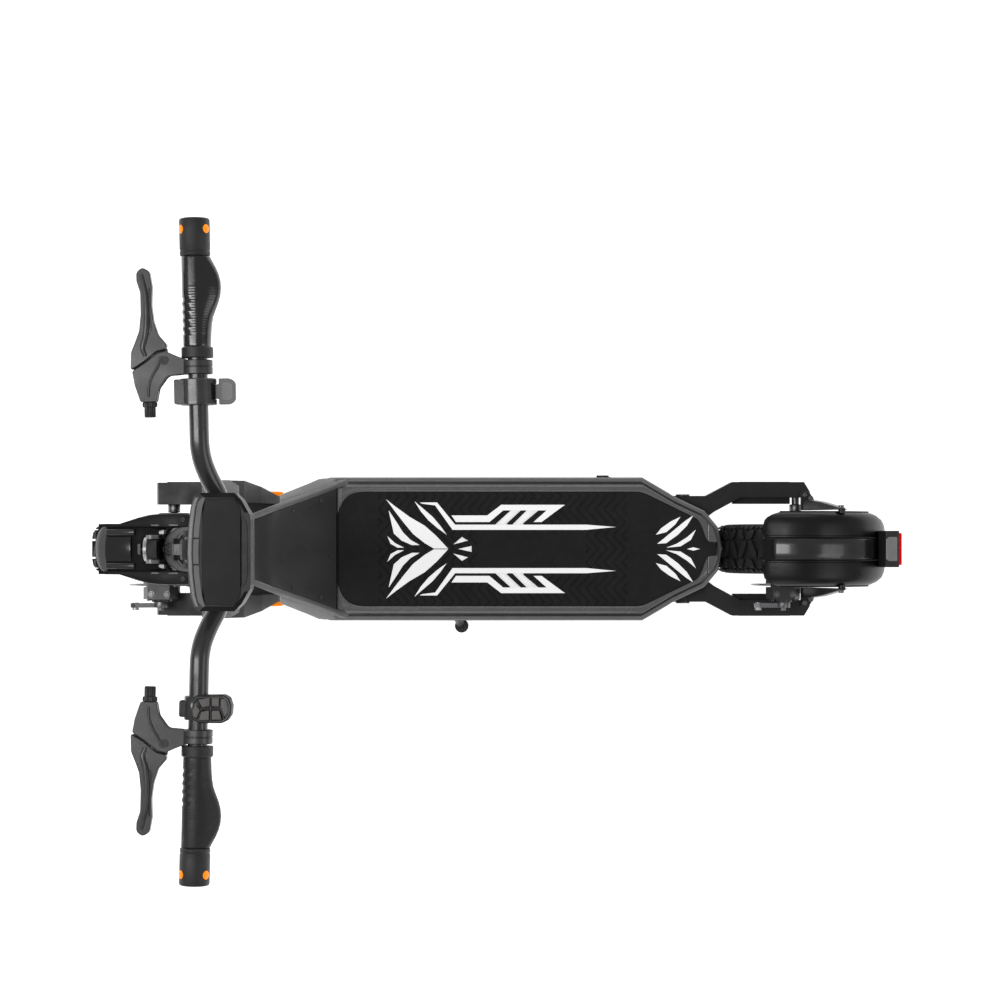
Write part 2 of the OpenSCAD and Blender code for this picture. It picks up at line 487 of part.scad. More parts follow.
// ---------- rear suspension ----------
module rear_swing_arm() color([0.09, 0.09, 0.09]) difference() {
  union() {
    both() intersection() {
      pxz([[280, 156], [335, 157], [400, 149], [506, 149], [506, 107], [400, 107], [325, 121], [280, 124]], 40, 120);
      pxy([[283, 52], [283, 83], [335, 83], [377, 105], [490, 105], [499, 90], [499, 81], [390, 80.5], [348, 58], [340, 52]], 90, 180);
    }
    both() cy(RPX, RPZ, 17, 52, 83);
    cy(334, 132, 6, -56, 56);
    // inner lower flange
    both() pxz([[380, 112], [470, 112], [470, 130], [380, 130]], 71, 82);
    // spring seat plate on the cross tube
    bx(319, 338, -38, 38, 133, 140);
  }
  both() cy(RPX, RPZ, 8.07, 30, 120);
  both() cy(rear_axle_x, wheel_z, 6.06, 40, 120);
  both() cy(rear_axle_x, wheel_z, 12, 94, 120);
}
module rear_axle() color([0.55, 0.55, 0.57]) axle_set(rear_axle_x);
module rear_springs() color([0.75, 0.3, 0.1]) both() coil(327, 25, 140.5, 171.5, 6.5, 1.6, 5);
module rear_caliper() color([0.25, 0.25, 0.26]) caliper(452, 140);
module rear_brake_arm() color([0.45, 0.45, 0.47]) brake_arm(452, 1);
module rear_fender() color([0.09, 0.09, 0.095]) difference() {
  union() {
    translate([rear_axle_x, 0, wheel_z]) rotate([90, 0, 0]) rotate([0, 0, 8]) rotate_extrude(angle = 110)
      polygon([[124, -57], [132, -57.5], [137, -55], [139.5, -48], [139.5, -18], [141, -17], [141, 17], [139.5, 18], [139.5, 48], [137, 55], [132, 57.5], [124, 57], [124, 54], [131, 53], [136, 47], [136, -47], [131, -53], [124, -54]]);
    // stays from the arm ends up to the fender sides
    both() pxz([[486, 150.5], [498, 150.5], [541, 246], [532, 250]], 60.5, 74);
    both() cy(535, 240, 6, 55, 66);
    both() pxy([[484, 60.5], [484, 92], [497, 90], [506, 75], [506, 60.5]], 149.4, 154.5);
  }
}
module tail_light() color([0.1, 0.1, 0.1]) union() {
  difference() {
    pxz([[596, 206], [604, 234], [626, 234], [630, 226], [630, 186], [614, 168], [606, 182]], -28, 28);
    translate([rear_axle_x, 0, wheel_z]) rotate([90, 0, 0]) cylinder(r = 141.2, h = 100, center = true);
  }
}
module rear_tyre() color([0.08, 0.08, 0.08]) tyre(rear_axle_x);
module motor_shell() color([0.16, 0.16, 0.16]) difference() {
  union() {
    turned(rear_axle_x, wheel_z) polygon([[10, -31], [60, -31], [66, -27], [72, -29], [72, -33], [84, -33], [84, -30.2], [76.8, -30.2], [76.8, -22], [72, -16], [72, 16],
      [76.8, 22], [76.8, 30.2], [84, 30.2], [84, 33], [72, 33], [72, 29], [66, 27], [60, 31], [10, 31]]);
    cy(rear_axle_x, wheel_z, 34, -53, -30); cy(rear_axle_x, wheel_z, 24, 30, 56.5);
  }
  turned(rear_axle_x, wheel_z) polygon([[0, -23], [62, -23], [66, -14], [66, 14], [62, 23], [0, 23]]);
  cy(rear_axle_x, wheel_z, 6.06, -60, 60);
}
module motor_stator() color([0.7, 0.4, 0.2]) difference() {
  union() {
    for (i = [0:11]) translate([rear_axle_x, 0, wheel_z]) rotate([0, i * 30, 0]) { translate([22, -8, -4]) cube([36, 16, 8]); translate([54, -14, -11]) cube([5, 28, 22]); translate([30, -14, -7]) cube([20, 28, 14]); }
    cy(rear_axle_x, wheel_z, 28, -14, 14);
    cy(rear_axle_x, wheel_z, 10, -22, 22);
  }
  cy(rear_axle_x, wheel_z, 6, -60, 60);
}

deck_tub();
deck_rim();
deck_mat();
neck_frame();
neck_cover();
headset_bearings();
battery_pack();
motor_controller();
deck_screws();
rear_pivot_bolt();
fork_frame();
head_cover();
front_fender();
headlight_housing();
headlight_lens();
side_reflectors();
front_pivot_bolts();
fold_base();
fold_pin();
stem_tube();
handlebar();
handle_grips();
bar_end_lamps();
display_housing();
display_screen();
brake_perches();
lever_pivot_screws();
throttle_body();
keypad_body();
fold_latch();
right_brake_lever();
left_brake_lever();
throttle_paddle();
key_1();
key_2();
key_3();
key_4();
key_5();
key_6();
kickstand();
charge_port_cap();
front_swing_arm();
front_axle();
front_springs();
front_caliper();
front_brake_arm();
front_tyre();
front_rim();
front_brake_disc();
rear_swing_arm();
rear_axle();
rear_springs();
rear_caliper();
rear_brake_arm();
rear_fender();
tail_light();
rear_tyre();
motor_shell();
motor_stator();
rear_brake_disc();
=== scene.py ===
import bpy, bmesh, math, random, json
from mathutils import Vector, Matrix


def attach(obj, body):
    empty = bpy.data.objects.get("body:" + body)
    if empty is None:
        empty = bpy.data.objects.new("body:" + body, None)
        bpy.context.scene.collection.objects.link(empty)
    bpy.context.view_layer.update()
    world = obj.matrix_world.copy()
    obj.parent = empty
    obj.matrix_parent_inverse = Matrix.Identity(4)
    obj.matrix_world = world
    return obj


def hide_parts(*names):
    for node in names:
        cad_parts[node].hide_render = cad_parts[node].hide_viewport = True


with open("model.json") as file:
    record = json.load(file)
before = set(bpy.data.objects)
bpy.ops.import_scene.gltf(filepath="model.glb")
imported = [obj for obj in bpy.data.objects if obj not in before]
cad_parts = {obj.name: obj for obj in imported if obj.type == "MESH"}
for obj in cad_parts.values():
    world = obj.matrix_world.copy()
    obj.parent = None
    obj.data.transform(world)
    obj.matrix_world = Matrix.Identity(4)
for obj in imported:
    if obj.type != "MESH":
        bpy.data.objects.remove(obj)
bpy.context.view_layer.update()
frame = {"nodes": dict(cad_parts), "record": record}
N = frame["nodes"]
MM = 0.001

# ---------------------------------------------------------------- camera, floor, light
cam = bpy.data.cameras.new("cam")
cam_ob = bpy.data.objects.new("cam", cam)
bpy.context.scene.collection.objects.link(cam_ob)
cam_ob.location = (0.0125, 0.0123, 3.740)
cam.sensor_width = 36.0
cam.lens = 82.33
cam.shift_y = 0.041
cam.clip_end = 50
bpy.context.scene.camera = cam_ob
bpy.context.scene.view_settings.view_transform = "Standard"
bpy.context.scene.view_settings.look = "None"

world = bpy.data.worlds.new("studio") if not bpy.context.scene.world else bpy.context.scene.world
bpy.context.scene.world = world
world.use_nodes = True
world.node_tree.nodes["Background"].inputs[0].default_value = (1, 1, 1, 1)
world.node_tree.nodes["Background"].inputs[1].default_value = 0.30


def area(name, loc, aim, size, power, size_y=None):
    l = bpy.data.lights.new(name, "AREA")
    l.energy = power
    l.shape = "RECTANGLE"
    l.size = size
    l.size_y = size_y or size
    o = bpy.data.objects.new(name, l)
    bpy.context.scene.collection.objects.link(o)
    o.location = loc
    o.rotation_euler = (Vector(aim) - Vector(loc)).to_track_quat("-Z", "Y").to_euler()
    return o


area("key", (-1.55, 0.1, 3.3), (0.1, 0.0, 0.3), 0.5, 32, 2.4)
area("fill", (2.4, -0.6, 2.6), (0, 0, 0.2), 1.6, 12)
area("rim", (-0.4, -2.8, 1.5), (0, 0, 0.4), 1.6, 9)
area("side", (0.2, 2.9, 1.6), (0, 0, 0.3), 2.2, 12, 1.0)


# ---------------------------------------------------------------- materials
def srgb(v):
    v = v / 255.0
    return v / 12.92 if v <= 0.04045 else ((v + 0.055) / 1.055) ** 2.4


def rgb(*c):
    if len(c) == 1:
        c = (c[0], c[0], c[0])
    return tuple(srgb(x) for x in c) + (1.0,)


def material(name, base, rough, metallic=0.0, coat=0.0, coat_rough=0.08, spec=0.5, grain=900.0, grain_h=0.00004, var=0.12,
             var_scale=14.0, rough_var=0.08, wear=0.0, brushed=0.0, brush_axis=1, sheen=0.0, speck=0.0, cells=0.0, cells_h=0.0,
             emission=None, emission_strength=0.0, alpha=1.0, transmission=0.0, ior=None, lines=None):
    m = bpy.data.materials.new(name)
    m.use_nodes = True
    nt = m.node_tree
    nodes, links = nt.nodes, nt.links
    b = nodes["Principled BSDF"]
    b.inputs["Metallic"].default_value = metallic
    b.inputs["Coat Weight"].default_value = coat
    b.inputs["Coat Roughness"].default_value = coat_rough
    b.inputs["Specular IOR Level"].default_value = spec
    b.inputs["Sheen Weight"].default_value = sheen
    b.inputs["Transmission Weight"].default_value = transmission
    if ior:
        b.inputs["IOR"].default_value = ior
    if emission:
        b.inputs["Emission Color"].default_value = emission
        b.inputs["Emission Strength"].default_value = emission_strength
    tc = nodes.new("ShaderNodeTexCoord")

    def noise(scale, detail=3.0, stretch=None):
        n = nodes.new("ShaderNodeTexNoise")
        n.inputs["Scale"].default_value = scale
        n.inputs["Detail"].default_value = detail
        if stretch:
            mp = nodes.new("ShaderNodeMapping")
            mp.inputs["Scale"].default_value = stretch
            links.new(tc.outputs["Object"], mp.inputs["Vector"])
            links.new(mp.outputs["Vector"], n.inputs["Vector"])
        else:
            links.new(tc.outputs["Object"], n.inputs["Vector"])
        return n

    def ramp(src, lo, hi, p0=0.3, p1=0.7):
        r = nodes.new("ShaderNodeMapRange")
        r.inputs["From Min"].default_value = p0
        r.inputs["From Max"].default_value = p1
        r.inputs["To Min"].default_value = lo
        r.inputs["To Max"].default_value = hi
        links.new(src, r.inputs["Value"])
        return r.outputs["Result"]

    def mix(fac, a, c, blend="MIX"):
        x = nodes.new("ShaderNodeMix")
        x.data_type = "RGBA"
        x.blend_type = blend
        if isinstance(fac, float):
            x.inputs[0].default_value = fac
        else:
            links.new(fac, x.inputs[0])
        for k, v in ((6, a), (7, c)):
            if isinstance(v, tuple):
                x.inputs[k].default_value = v
            else:
                links.new(v, x.inputs[k])
        return x.outputs[2]

    n1 = noise(var_scale, 5.0)
    dark = tuple(x * (1 - var) for x in base[:3]) + (1,)
    lite = tuple(min(1, x * (1 + var)) for x in base[:3]) + (1,)
    col = mix(ramp(n1.outputs["Fac"], 0.0, 1.0), dark, lite)
    if speck:
        n2 = noise(700.0, 1.0)
        col = mix(ramp(n2.outputs["Fac"], 0.0, speck, 0.62, 0.72), col, tuple(min(1, x * 2.6 + 0.02) for x in base[:3]) + (1,))
    if lines:
        col = lines(nodes, links, tc, col, mix)
    if wear:
        geo = nodes.new("ShaderNodeNewGeometry")
        wn = noise(60.0, 4.0)
        e = nodes.new("ShaderNodeMath")
        e.operation = "MULTIPLY"
        links.new(ramp(geo.outputs["Pointiness"], 0.0, 1.0, 0.505, 0.56), e.inputs[0])
        links.new(ramp(wn.outputs["Fac"], 0.2, 1.0), e.inputs[1])
        w = nodes.new("ShaderNodeMath")
        w.operation = "MULTIPLY"
        links.new(e.outputs[0], w.inputs[0])
        w.inputs[1].default_value = wear
        col = mix(w.outputs[0], col, tuple(min(1, x * 2.2 + 0.05) for x in base[:3]) + (1,))
    links.new(col, b.inputs["Base Color"])
    n3 = noise(var_scale * 2.3, 4.0)
    links.new(ramp(n3.outputs["Fac"], max(0.02, rough - rough_var), min(1, rough + rough_var)), b.inputs["Roughness"])
    # relief
    bump = nodes.new("ShaderNodeBump")
    bump.inputs["Strength"].default_value = 1.0
    bump.inputs["Distance"].default_value = grain_h
    if brushed:
        st = [2600.0, 2600.0, 2600.0]
        st[brush_axis] = 18.0
        g = noise(1.0, 2.0, tuple(st))
        bump.inputs["Distance"].default_value = brushed
    elif cells:
        g = nodes.new("ShaderNodeTexVoronoi")
        g.inputs["Scale"].default_value = cells
        links.new(tc.outputs["Object"], g.inputs["Vector"])
        bump.inputs["Distance"].default_value = cells_h
    else:
        g = noise(grain, 2.0)
    links.new(g.outputs["Distance" if cells and not brushed else "Fac"], bump.inputs["Height"])
    links.new(bump.outputs["Normal"], b.inputs["Normal"])
    return m


M = {}
M["deck_paint"] = material("deck_paint", rgb(74, 74, 75), 0.36, metallic=0.35, coat=0.2, coat_rough=0.2, grain=1500, grain_h=0.00002, var=0.06, wear=0.25)
M["rim_paint"] = material("rim_paint", rgb(74, 74, 75), 0.34, metallic=0.3, coat=0.3, coat_rough=0.15, grain=1500, grain_h=0.00002, var=0.05, wear=0.25)
# the deck paint in a lighter grey: a painted highlight for the light on the edge band and the neck wall strips
M["band_painted_highlight"] = material("band_painted_highlight", rgb(112, 112, 113), 0.36, metallic=0.3, coat=0.2, coat_rough=0.2, grain=1500, grain_h=0.00002, var=0.05, wear=0.2)
# the rim paint in a lighter grey: a painted highlight along the rounded bezel
M["bezel_painted_highlight"] = material("bezel_painted_highlight", rgb(100, 100, 101), 0.26, metallic=0.2, coat=0.4, coat_rough=0.1, grain=1400, grain_h=0.00002, var=0.05, wear=0.2)
M["neck_paint"] = material("neck_paint", rgb(168, 168, 169), 0.34, metallic=0.35, coat=0.3, coat_rough=0.15, grain=1500, grain_h=0.00002, var=0.05, wear=0.25)
M["fork_paint"] = material("fork_paint", rgb(84, 84, 85), 0.36, metallic=0.35, coat=0.2, coat_rough=0.2, grain=1500, grain_h=0.00002, var=0.06, wear=0.3)
M["frame_grey"] = material("frame_grey", rgb(82, 82, 83), 0.36, metallic=0.1, coat=0.2, coat_rough=0.15, grain=1500, grain_h=0.00002, var=0.05, wear=0.2)
M["cheek"] = material("cheek", rgb(138, 138, 140), 0.34, metallic=0.4, coat=0.2, coat_rough=0.15, grain=1500, grain_h=0.00002, var=0.05, wear=0.3)
M["strip"] = material("strip", rgb(28, 28, 29), 0.24, spec=0.6, coat=0.5, coat_rough=0.12, grain=900, grain_h=0.00002, var=0.05, wear=0.15)
M["cover"] = material("cover", rgb(46, 45, 45), 0.34, spec=0.4, coat=0.1, coat_rough=0.2, grain=900, grain_h=0.00003, var=0.05, wear=0.1)
M["dome"] = material("dome", rgb(26, 26, 27), 0.5, spec=0.2, coat=0.0, coat_rough=0.1, grain=900, grain_h=0.00003, var=0.05, wear=0.2)
M["stay"] = material("stay", rgb(40, 40, 41), 0.36, metallic=0.2, coat=0.2, coat_rough=0.2, grain=1400, grain_h=0.00003, var=0.06, wear=0.3)
M["cowl"] = material("cowl", rgb(15, 15, 16), 0.46, spec=0.3, coat_rough=0.2, grain=1100, grain_h=0.00004, var=0.08, wear=0.15)
# near-black painted shade: used where only shade shows, in the hollow under the front fender, the cowl bridge, the
# paddle root gap, the rear fender notch and the display sides
M["painted_shade_black"] = material("painted_shade_black", rgb(6, 6, 6), 0.6, spec=0.2, grain=900, grain_h=0.00004, var=0.1)
# a darker, glossier copy of the grip rubber for the right grip only: painted sheen for the light falling on that side
M["grip_gloss"] = material("grip_gloss", rgb(22, 21, 21), 0.2, spec=0.6, coat=0.5, coat_rough=0.15, grain=1300, grain_h=0.00004, var=0.08, var_scale=40)
M["gloss_black"] = material("gloss_black", rgb(16, 16, 17), 0.14, coat=0.5, coat_rough=0.05, grain=120, grain_h=0.00003, var=0.1, rough_var=0.04)
M["gloss_dark"] = material("gloss_dark", rgb(26, 26, 27), 0.16, coat=0.5, coat_rough=0.06, grain=200, grain_h=0.00003, var=0.08, rough_var=0.04)
M["gloss_mid"] = material("gloss_mid", rgb(46, 46, 47), 0.2, coat=0.5, coat_rough=0.08, grain=300, grain_h=0.00003, var=0.06, rough_var=0.04)
M["satin_black"] = material("satin_black", rgb(26, 26, 26), 0.42, grain=1300, grain_h=0.00005, var=0.08, wear=0.15)
M["arm_black"] = material("arm_black", rgb(19, 19, 20), 0.46, grain=1100, grain_h=0.00006, var=0.1, wear=0.2)
M["bar_black"] = material("bar_black", rgb(52, 52, 53), 0.24, metallic=0.2, coat=0.3, coat_rough=0.1, grain=1500, grain_h=0.00002, var=0.06, wear=0.2)
M["throttle"] = material("throttle", rgb(22, 22, 22), 0.34, coat=0.1, grain=1300, grain_h=0.00004, var=0.06, wear=0.15)
M["rubber_mat"] = material("rubber_mat", rgb(36, 34, 34), 0.78, spec=0.25, cells=900, cells_h=0.00012, var=0.12, var_scale=30)
M["grip_rubber"] = material("grip_rubber", rgb(36, 34, 34), 0.46, spec=0.4, cells=1100, cells_h=0.00008, var=0.1, var_scale=40)
M["tyre_rubber"] = material("tyre_rubber", rgb(26, 26, 26), 0.66, spec=0.35, grain=500, grain_h=0.0002, var=0.2, var_scale=25)
M["plastic"] = material("plastic", rgb(38, 36, 36), 0.5, cells=1600, cells_h=0.00008, var=0.06, var_scale=20)
M["fender"] = material("fender", rgb(13, 13, 14), 0.34, spec=0.35, grain=800, grain_h=0.00004, var=0.08)
M["lever"] = material("lever", rgb(52, 52, 53), 0.34, metallic=0.2, coat=0.2, coat_rough=0.15, grain=1300, grain_h=0.00003, var=0.06, wear=0.35)
M["alloy_dark"] = material("alloy_dark", rgb(52, 52, 53), 0.38, metallic=0.3, coat=0.2, coat_rough=0.2, grain=1400, grain_h=0.00003, var=0.08, wear=0.35)
M["steel"] = material("steel", rgb(120, 120, 122), 0.36, metallic=1.0, brushed=0.00006, brush_axis=1, var=0.12, var_scale=40)
M["disc"] = material("disc", rgb(150, 150, 153), 0.28, metallic=1.0, brushed=0.00005, brush_axis=0, var=0.1, var_scale=60)
M["alu"] = material("alu", rgb(180, 180, 182), 0.36, metallic=1.0, grain=1600, grain_h=0.00003, var=0.06)
M["paddle"] = material("paddle", rgb(108, 108, 108), 0.42, grain=1500, grain_h=0.00003, var=0.05)
M["paddle_lite"] = material("paddle_lite", rgb(118, 118, 118), 0.4, grain=1500, grain_h=0.00003, var=0.05)
M["key"] = material("key", rgb(96, 91, 91), 0.55, grain=1300, grain_h=0.00004, var=0.06)
M["rib"] = material("rib", rgb(56, 55, 55), 0.45, grain=1300, grain_h=0.00004, var=0.06)
M["screen"] = material("screen", rgb(18, 17, 17), 0.4, spec=0.2, coat=0.0, coat_rough=0.1, grain=60, grain_h=0.00001, var=0.06, rough_var=0.03)
M["lightbar"] = material("lightbar", rgb(100, 100, 101), 0.5, coat=0.0, grain=900, grain_h=0.00002, var=0.04)
# amber with emission: the glow of the bar-end lamps, and a painted glow on the side reflectors, which are no lamps
M["amber"] = material("amber", rgb(255, 136, 0), 0.4, coat=0.1, spec=0.2, cells=420, cells_h=0.0002, var=0.06, emission=rgb(255, 140, 0), emission_strength=0.55)
M["red"] = material("red", rgb(150, 4, 3), 0.6, spec=0.05, cells=380, cells_h=0.0003, var=0.08, emission=rgb(255, 4, 2), emission_strength=0.45)
M["lens"] = material("lens", rgb(235, 238, 240), 0.06, coat=0.3, grain=200, grain_h=0.00002, var=0.03, transmission=0.85)
# white print with a painted glow: the emission only brightens the print
M["print_painted_glow"] = material("print_painted_glow", rgb(245, 245, 245), 0.55, cells=900, cells_h=0.00005, var=0.02, emission=rgb(255, 255, 255), emission_strength=0.35)
M["battery"] = material("battery", rgb(30, 70, 140), 0.4, cells=60, cells_h=0.0006, var=0.1)
M["copper"] = material("copper", rgb(170, 90, 50), 0.4, metallic=0.8, brushed=0.0001, brush_axis=1, var=0.15)
M["spring"] = material("spring", rgb(110, 110, 112), 0.35, metallic=0.8, grain=800, grain_h=0.00003, var=0.1)

fl = material("floor_paper", (0.9, 0.9, 0.9, 1), 0.9, spec=0.0, grain=40, grain_h=0.00005, var=0.006, var_scale=2)
fl.node_tree.nodes["Principled BSDF"].inputs["Emission Color"].default_value = (1, 1, 1, 1)
fl.node_tree.nodes["Principled BSDF"].inputs["Emission Strength"].default_value = 0.85
fm = bpy.data.meshes.new("floor")
fm.from_pydata([(-9, -9, -0.0004), (9, -9, -0.0004), (9, 9, -0.0004), (-9, 9, -0.0004)], [], [(0, 1, 2, 3)])
floor = bpy.data.objects.new("floor", fm)
fm.materials.append(fl)
bpy.context.scene.collection.objects.link(floor)

BODY = {n: b for b, ns in frame["record"]["behaviour"]["bodies"].items() for n in ns}


# ---------------------------------------------------------------- shape helpers (millimetres)
def finish_mesh(ob, bevel=0.0, segs=3, sub=0, angle=30, weld=False):
    me = ob.data
    for p in me.polygons:
        p.use_smooth = True
    if weld:
        w = ob.modifiers.new("weld", "WELD")
        w.merge_threshold = 0.00001
    if bevel:
        bv = ob.modifiers.new("bevel", "BEVEL")
        bv.width = bevel * MM
        bv.segments = segs
        bv.limit_method = "ANGLE"
        bv.angle_limit = math.radians(angle)
        bv.harden_normals = True
        bv.use_clamp_overlap = True
    if sub:
        s = ob.modifiers.new("sub", "SUBSURF")
        s.levels = s.render_levels = sub
    if bevel and not sub:
        wn = ob.modifiers.new("wn", "WEIGHTED_NORMAL")
        wn.keep_sharp = True
        wn.weight = 80


def put(name, verts, faces, mat, node=None, body=None, replaces=(), bevel=0.0, segs=3, sub=0, angle=30, xf=None, mirror=False):
    """verts in millimetres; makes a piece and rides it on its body"""
    me = bpy.data.meshes.new(name)
    vs = [Vector(v) for v in verts]
    if xf is not None:
        vs = [xf @ v for v in vs]
    if mirror:
        vs = [Vector((v.x, -v.y, v.z)) for v in vs]
    me.from_pydata([(v.x * MM, v.y * MM, v.z * MM) for v in vs], [], [tuple(f) for f in faces])
    bm = bmesh.new()
    bm.from_mesh(me)
    bmesh.ops.remove_doubles(bm, verts=bm.verts, dist=1e-7)
    bmesh.ops.recalc_face_normals(bm, faces=bm.faces)
    for e in bm.edges:
        if len(e.link_faces) == 2 and e.calc_face_angle(0) > math.radians(38):
            e.smooth = False
    bm.to_mesh(me)
    bm.free()
    ob = bpy.data.objects.new(name, me)
    bpy.context.scene.collection.objects.link(ob)
    me.materials.append(M[mat] if isinstance(mat, str) else mat)
    finish_mesh(ob, bevel, segs, sub, angle)
    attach(ob, body or BODY[node])
    if replaces:
        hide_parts(*replaces)
    return ob


def prism(pts, z0, z1):
    n = len(pts)
    vs = [(p[0], p[1], z0) for p in pts] + [(p[0], p[1], z1) for p in pts]
    fs = [tuple(range(n - 1, -1, -1)), tuple(range(n, 2 * n))] + [(i, (i + 1) % n, n + (i + 1) % n, n + i) for i in range(n)]
    return vs, fs


def prism_xz(pts, y0, y1):
    vs, fs = prism(pts, y0, y1)
    return [(v[0], v[2], v[1]) for v in vs], fs


def loft(rings, cap0=True, cap1=True, closed=True):
    n = len(rings[0])
    vs = [p for r in rings for p in r]
    fs = []
    for i in range(len(rings) - 1):
        for j in range(n if closed else n - 1):
            a, b = i * n + j, i * n + (j + 1) % n
            fs.append((a, b, b + n, a + n))
    if cap0:
        fs.append(tuple(range(n - 1, -1, -1)))
    if cap1:
        fs.append(tuple((len(rings) - 1) * n + j for j in range(n)))
    return vs, fs


def revolve(prof, n=96, cx=0.0, cz=0.0, closed=True):
    """prof: (r, y) loop turned about the Y axis through (cx, cz)"""
    k = len(prof)
    vs, fs = [], []
    for i in range(n):
        a = 2 * math.pi * i / n
        for r, y in prof:
            vs.append((cx + r * math.cos(a), y, cz + r * math.sin(a)))
    for i in range(n):
        for j in range(k if closed else k - 1):
            a, b = i * k + j, i * k + (j + 1) % k
            c, d = ((i + 1) % n) * k + (j + 1) % k, ((i + 1) % n) * k + j
            fs.append((a, b, c, d))
    return vs, fs


def tube(path, radius, n=24, cap=True):
    pts = [Vector(p) for p in path]
    rings = []
    t = (pts[1] - pts[0]).normalized()
    up = Vector((0, 0, 1)) if abs(t.z) < 0.9 else Vector((1, 0, 0))
    u = t.cross(up).normalized()
    for i, p in enumerate(pts):
        if i == 0:
            tn = (pts[1] - pts[0]).normalized()
        elif i == len(pts) - 1:
            tn = (pts[-1] - pts[-2]).normalized()
        else:
            tn = ((pts[i + 1] - p).normalized() + (p - pts[i - 1]).normalized()).normalized()
        u = (u - tn * u.dot(tn)).normalized()
        w = tn.cross(u)
        r = radius(i) if callable(radius) else radius
        rings.append([tuple(p + (u * math.cos(2 * math.pi * j / n) + w * math.sin(2 * math.pi * j / n)) * r) for j in range(n)])
    return loft(rings, cap, cap)


def smooth_path(pts, k=8):
    """Catmull-Rom through the points"""
    P = [Vector(p) for p in pts]
    P = [P[0] * 2 - P[1]] + P + [P[-1] * 2 - P[-2]]
    out = []
    for i in range(1, len(P) - 2):
        for s in range(k):
            t = s / k
            a, b, c, d = P[i - 1], P[i], P[i + 1], P[i + 2]
            out.append(0.5 * ((2 * b) + (c - a) * t + (2 * a - 5 * b + 4 * c - d) * t * t + (3 * b - a - 3 * c + d) * t ** 3))
    out.append(P[-2])
    return out


def sym(pts):
    return list(pts) + [(p[0], -p[1]) for p in reversed(pts) if p[1] > 0]


def round_poly(pts, r, k=5):
    """rounds each corner of a closed outline; r is a radius or one per corner"""
    out = []
    n = len(pts)
    for i in range(n):
        a, b, c = Vector(pts[i - 1][:2]), Vector(pts[i][:2]), Vector(pts[(i + 1) % n][:2])
        rr = r[i] if isinstance(r, (list, tuple)) else r
        u, v = (a - b), (c - b)
        if rr <= 0 or u.length < 1e-6 or v.length < 1e-6:
            out.append(tuple(b))
            continue
        ang = u.angle(v)
        d = min(rr / max(math.tan(ang / 2), 1e-6), u.length * 0.48, v.length * 0.48)
        p0, p1 = b + u.normalized() * d, b + v.normalized() * d
        for s in range(k + 1):
            t = s / k
            q = p0 * (1 - t) ** 2 + b * 2 * t * (1 - t) + p1 * t * t
            out.append((q.x, q.y))
    return out


Rx = lambda a: Matrix.Rotation(math.radians(a), 4, "X")
Ry = lambda a: Matrix.Rotation(math.radians(a), 4, "Y")
Rz = lambda a: Matrix.Rotation(math.radians(a), 4, "Z")
T = lambda x, y, z: Matrix.Translation((x, y, z))
BAR = T(-328, 130, 1150) @ Rz(1.16) @ Rx(1.39) @ T(0, -130, 0)
STEER = T(-423, 0, 450) @ Ry(11)

# ---------------------------------------------------------------- CAD nodes that stay: materials and soft edges
KEEP = {
    "deck_tub": ("deck_paint", 2.5), "deck_rim": ("rim_paint", 1.2), "deck_mat": ("rubber_mat", 1.0), "neck_frame": ("neck_paint", 2.0), "neck_cover": ("gloss_black", 1.0),
    "headset_bearings": ("steel", 0.5), "battery_pack": ("battery", 3), "motor_controller": ("alu", 1), "deck_screws": ("steel", 0.5), "rear_pivot_bolt": ("steel", 1),
    "fork_frame": ("fork_paint", 1.5), "head_cover": ("gloss_black", 1.5), "front_fender": ("fender", 0.8), "headlight_housing": ("alloy_dark", 1.5), "headlight_lens": ("lens", 1),
    "side_reflectors": ("amber", 1), "front_pivot_bolts": ("steel", 0.8), "fold_base": ("dome", 1.5), "fold_pin": ("steel", 0.8), "stem_tube": ("satin_black", 3.0),
    "handlebar": ("bar_black", 0), "handle_grips": ("grip_rubber", 1.5), "bar_end_lamps": ("plastic", 1.2), "display_housing": ("plastic", 2.5), "display_screen": ("screen", 0.5),
    "brake_perches": ("alloy_dark", 1.2), "lever_pivot_screws": ("steel", 0.4), "throttle_body": ("plastic", 1.2), "keypad_body": ("plastic", 1.2), "fold_latch": ("alloy_dark", 1.0),
    "right_brake_lever": ("alloy_dark", 1.5), "left_brake_lever": ("alloy_dark", 1.5), "throttle_paddle": ("paddle", 1.2),
    "kickstand": ("satin_black", 1.0), "charge_port_cap": ("grip_rubber", 0.8), "front_swing_arm": ("arm_black", 2.5), "front_axle": ("steel", 0.6), "front_springs": ("spring", 0),
    "front_caliper": ("alloy_dark", 1.5), "front_brake_arm": ("steel", 0.8), "front_tyre": ("tyre_rubber", 0), "front_rim": ("alloy_dark", 0.8), "front_brake_disc": ("disc", 0.2),
    "rear_swing_arm": ("arm_black", 2.5), "rear_axle": ("steel", 0.6), "rear_springs": ("spring", 0), "rear_caliper": ("alloy_dark", 1.5), "rear_brake_arm": ("steel", 0.8),
    "rear_fender": ("fender", 1.0), "tail_light": ("plastic", 1.5), "rear_tyre": ("tyre_rubber", 0), "motor_shell": ("alloy_dark", 0.8), "motor_stator": ("copper", 0), "rear_brake_disc": ("disc", 0.2),
}
for i in range(1, 7):
    KEEP["key_%d" % i] = ("key", 0.8)
for name, (mname, bev) in KEEP.items():
    ob = N[name]
    ob.data.materials.clear()
    ob.data.materials.append(M[mname])
    if bev:
        w = ob.modifiers.new("weld", "WELD")
        w.merge_threshold = 0.00001
        bv = ob.modifiers.new("bevel", "BEVEL")
        bv.width = bev * MM
        bv.segments = 3
        bv.limit_method = "ANGLE"
        bv.angle_limit = math.radians(28)
        bv.harden_normals = True

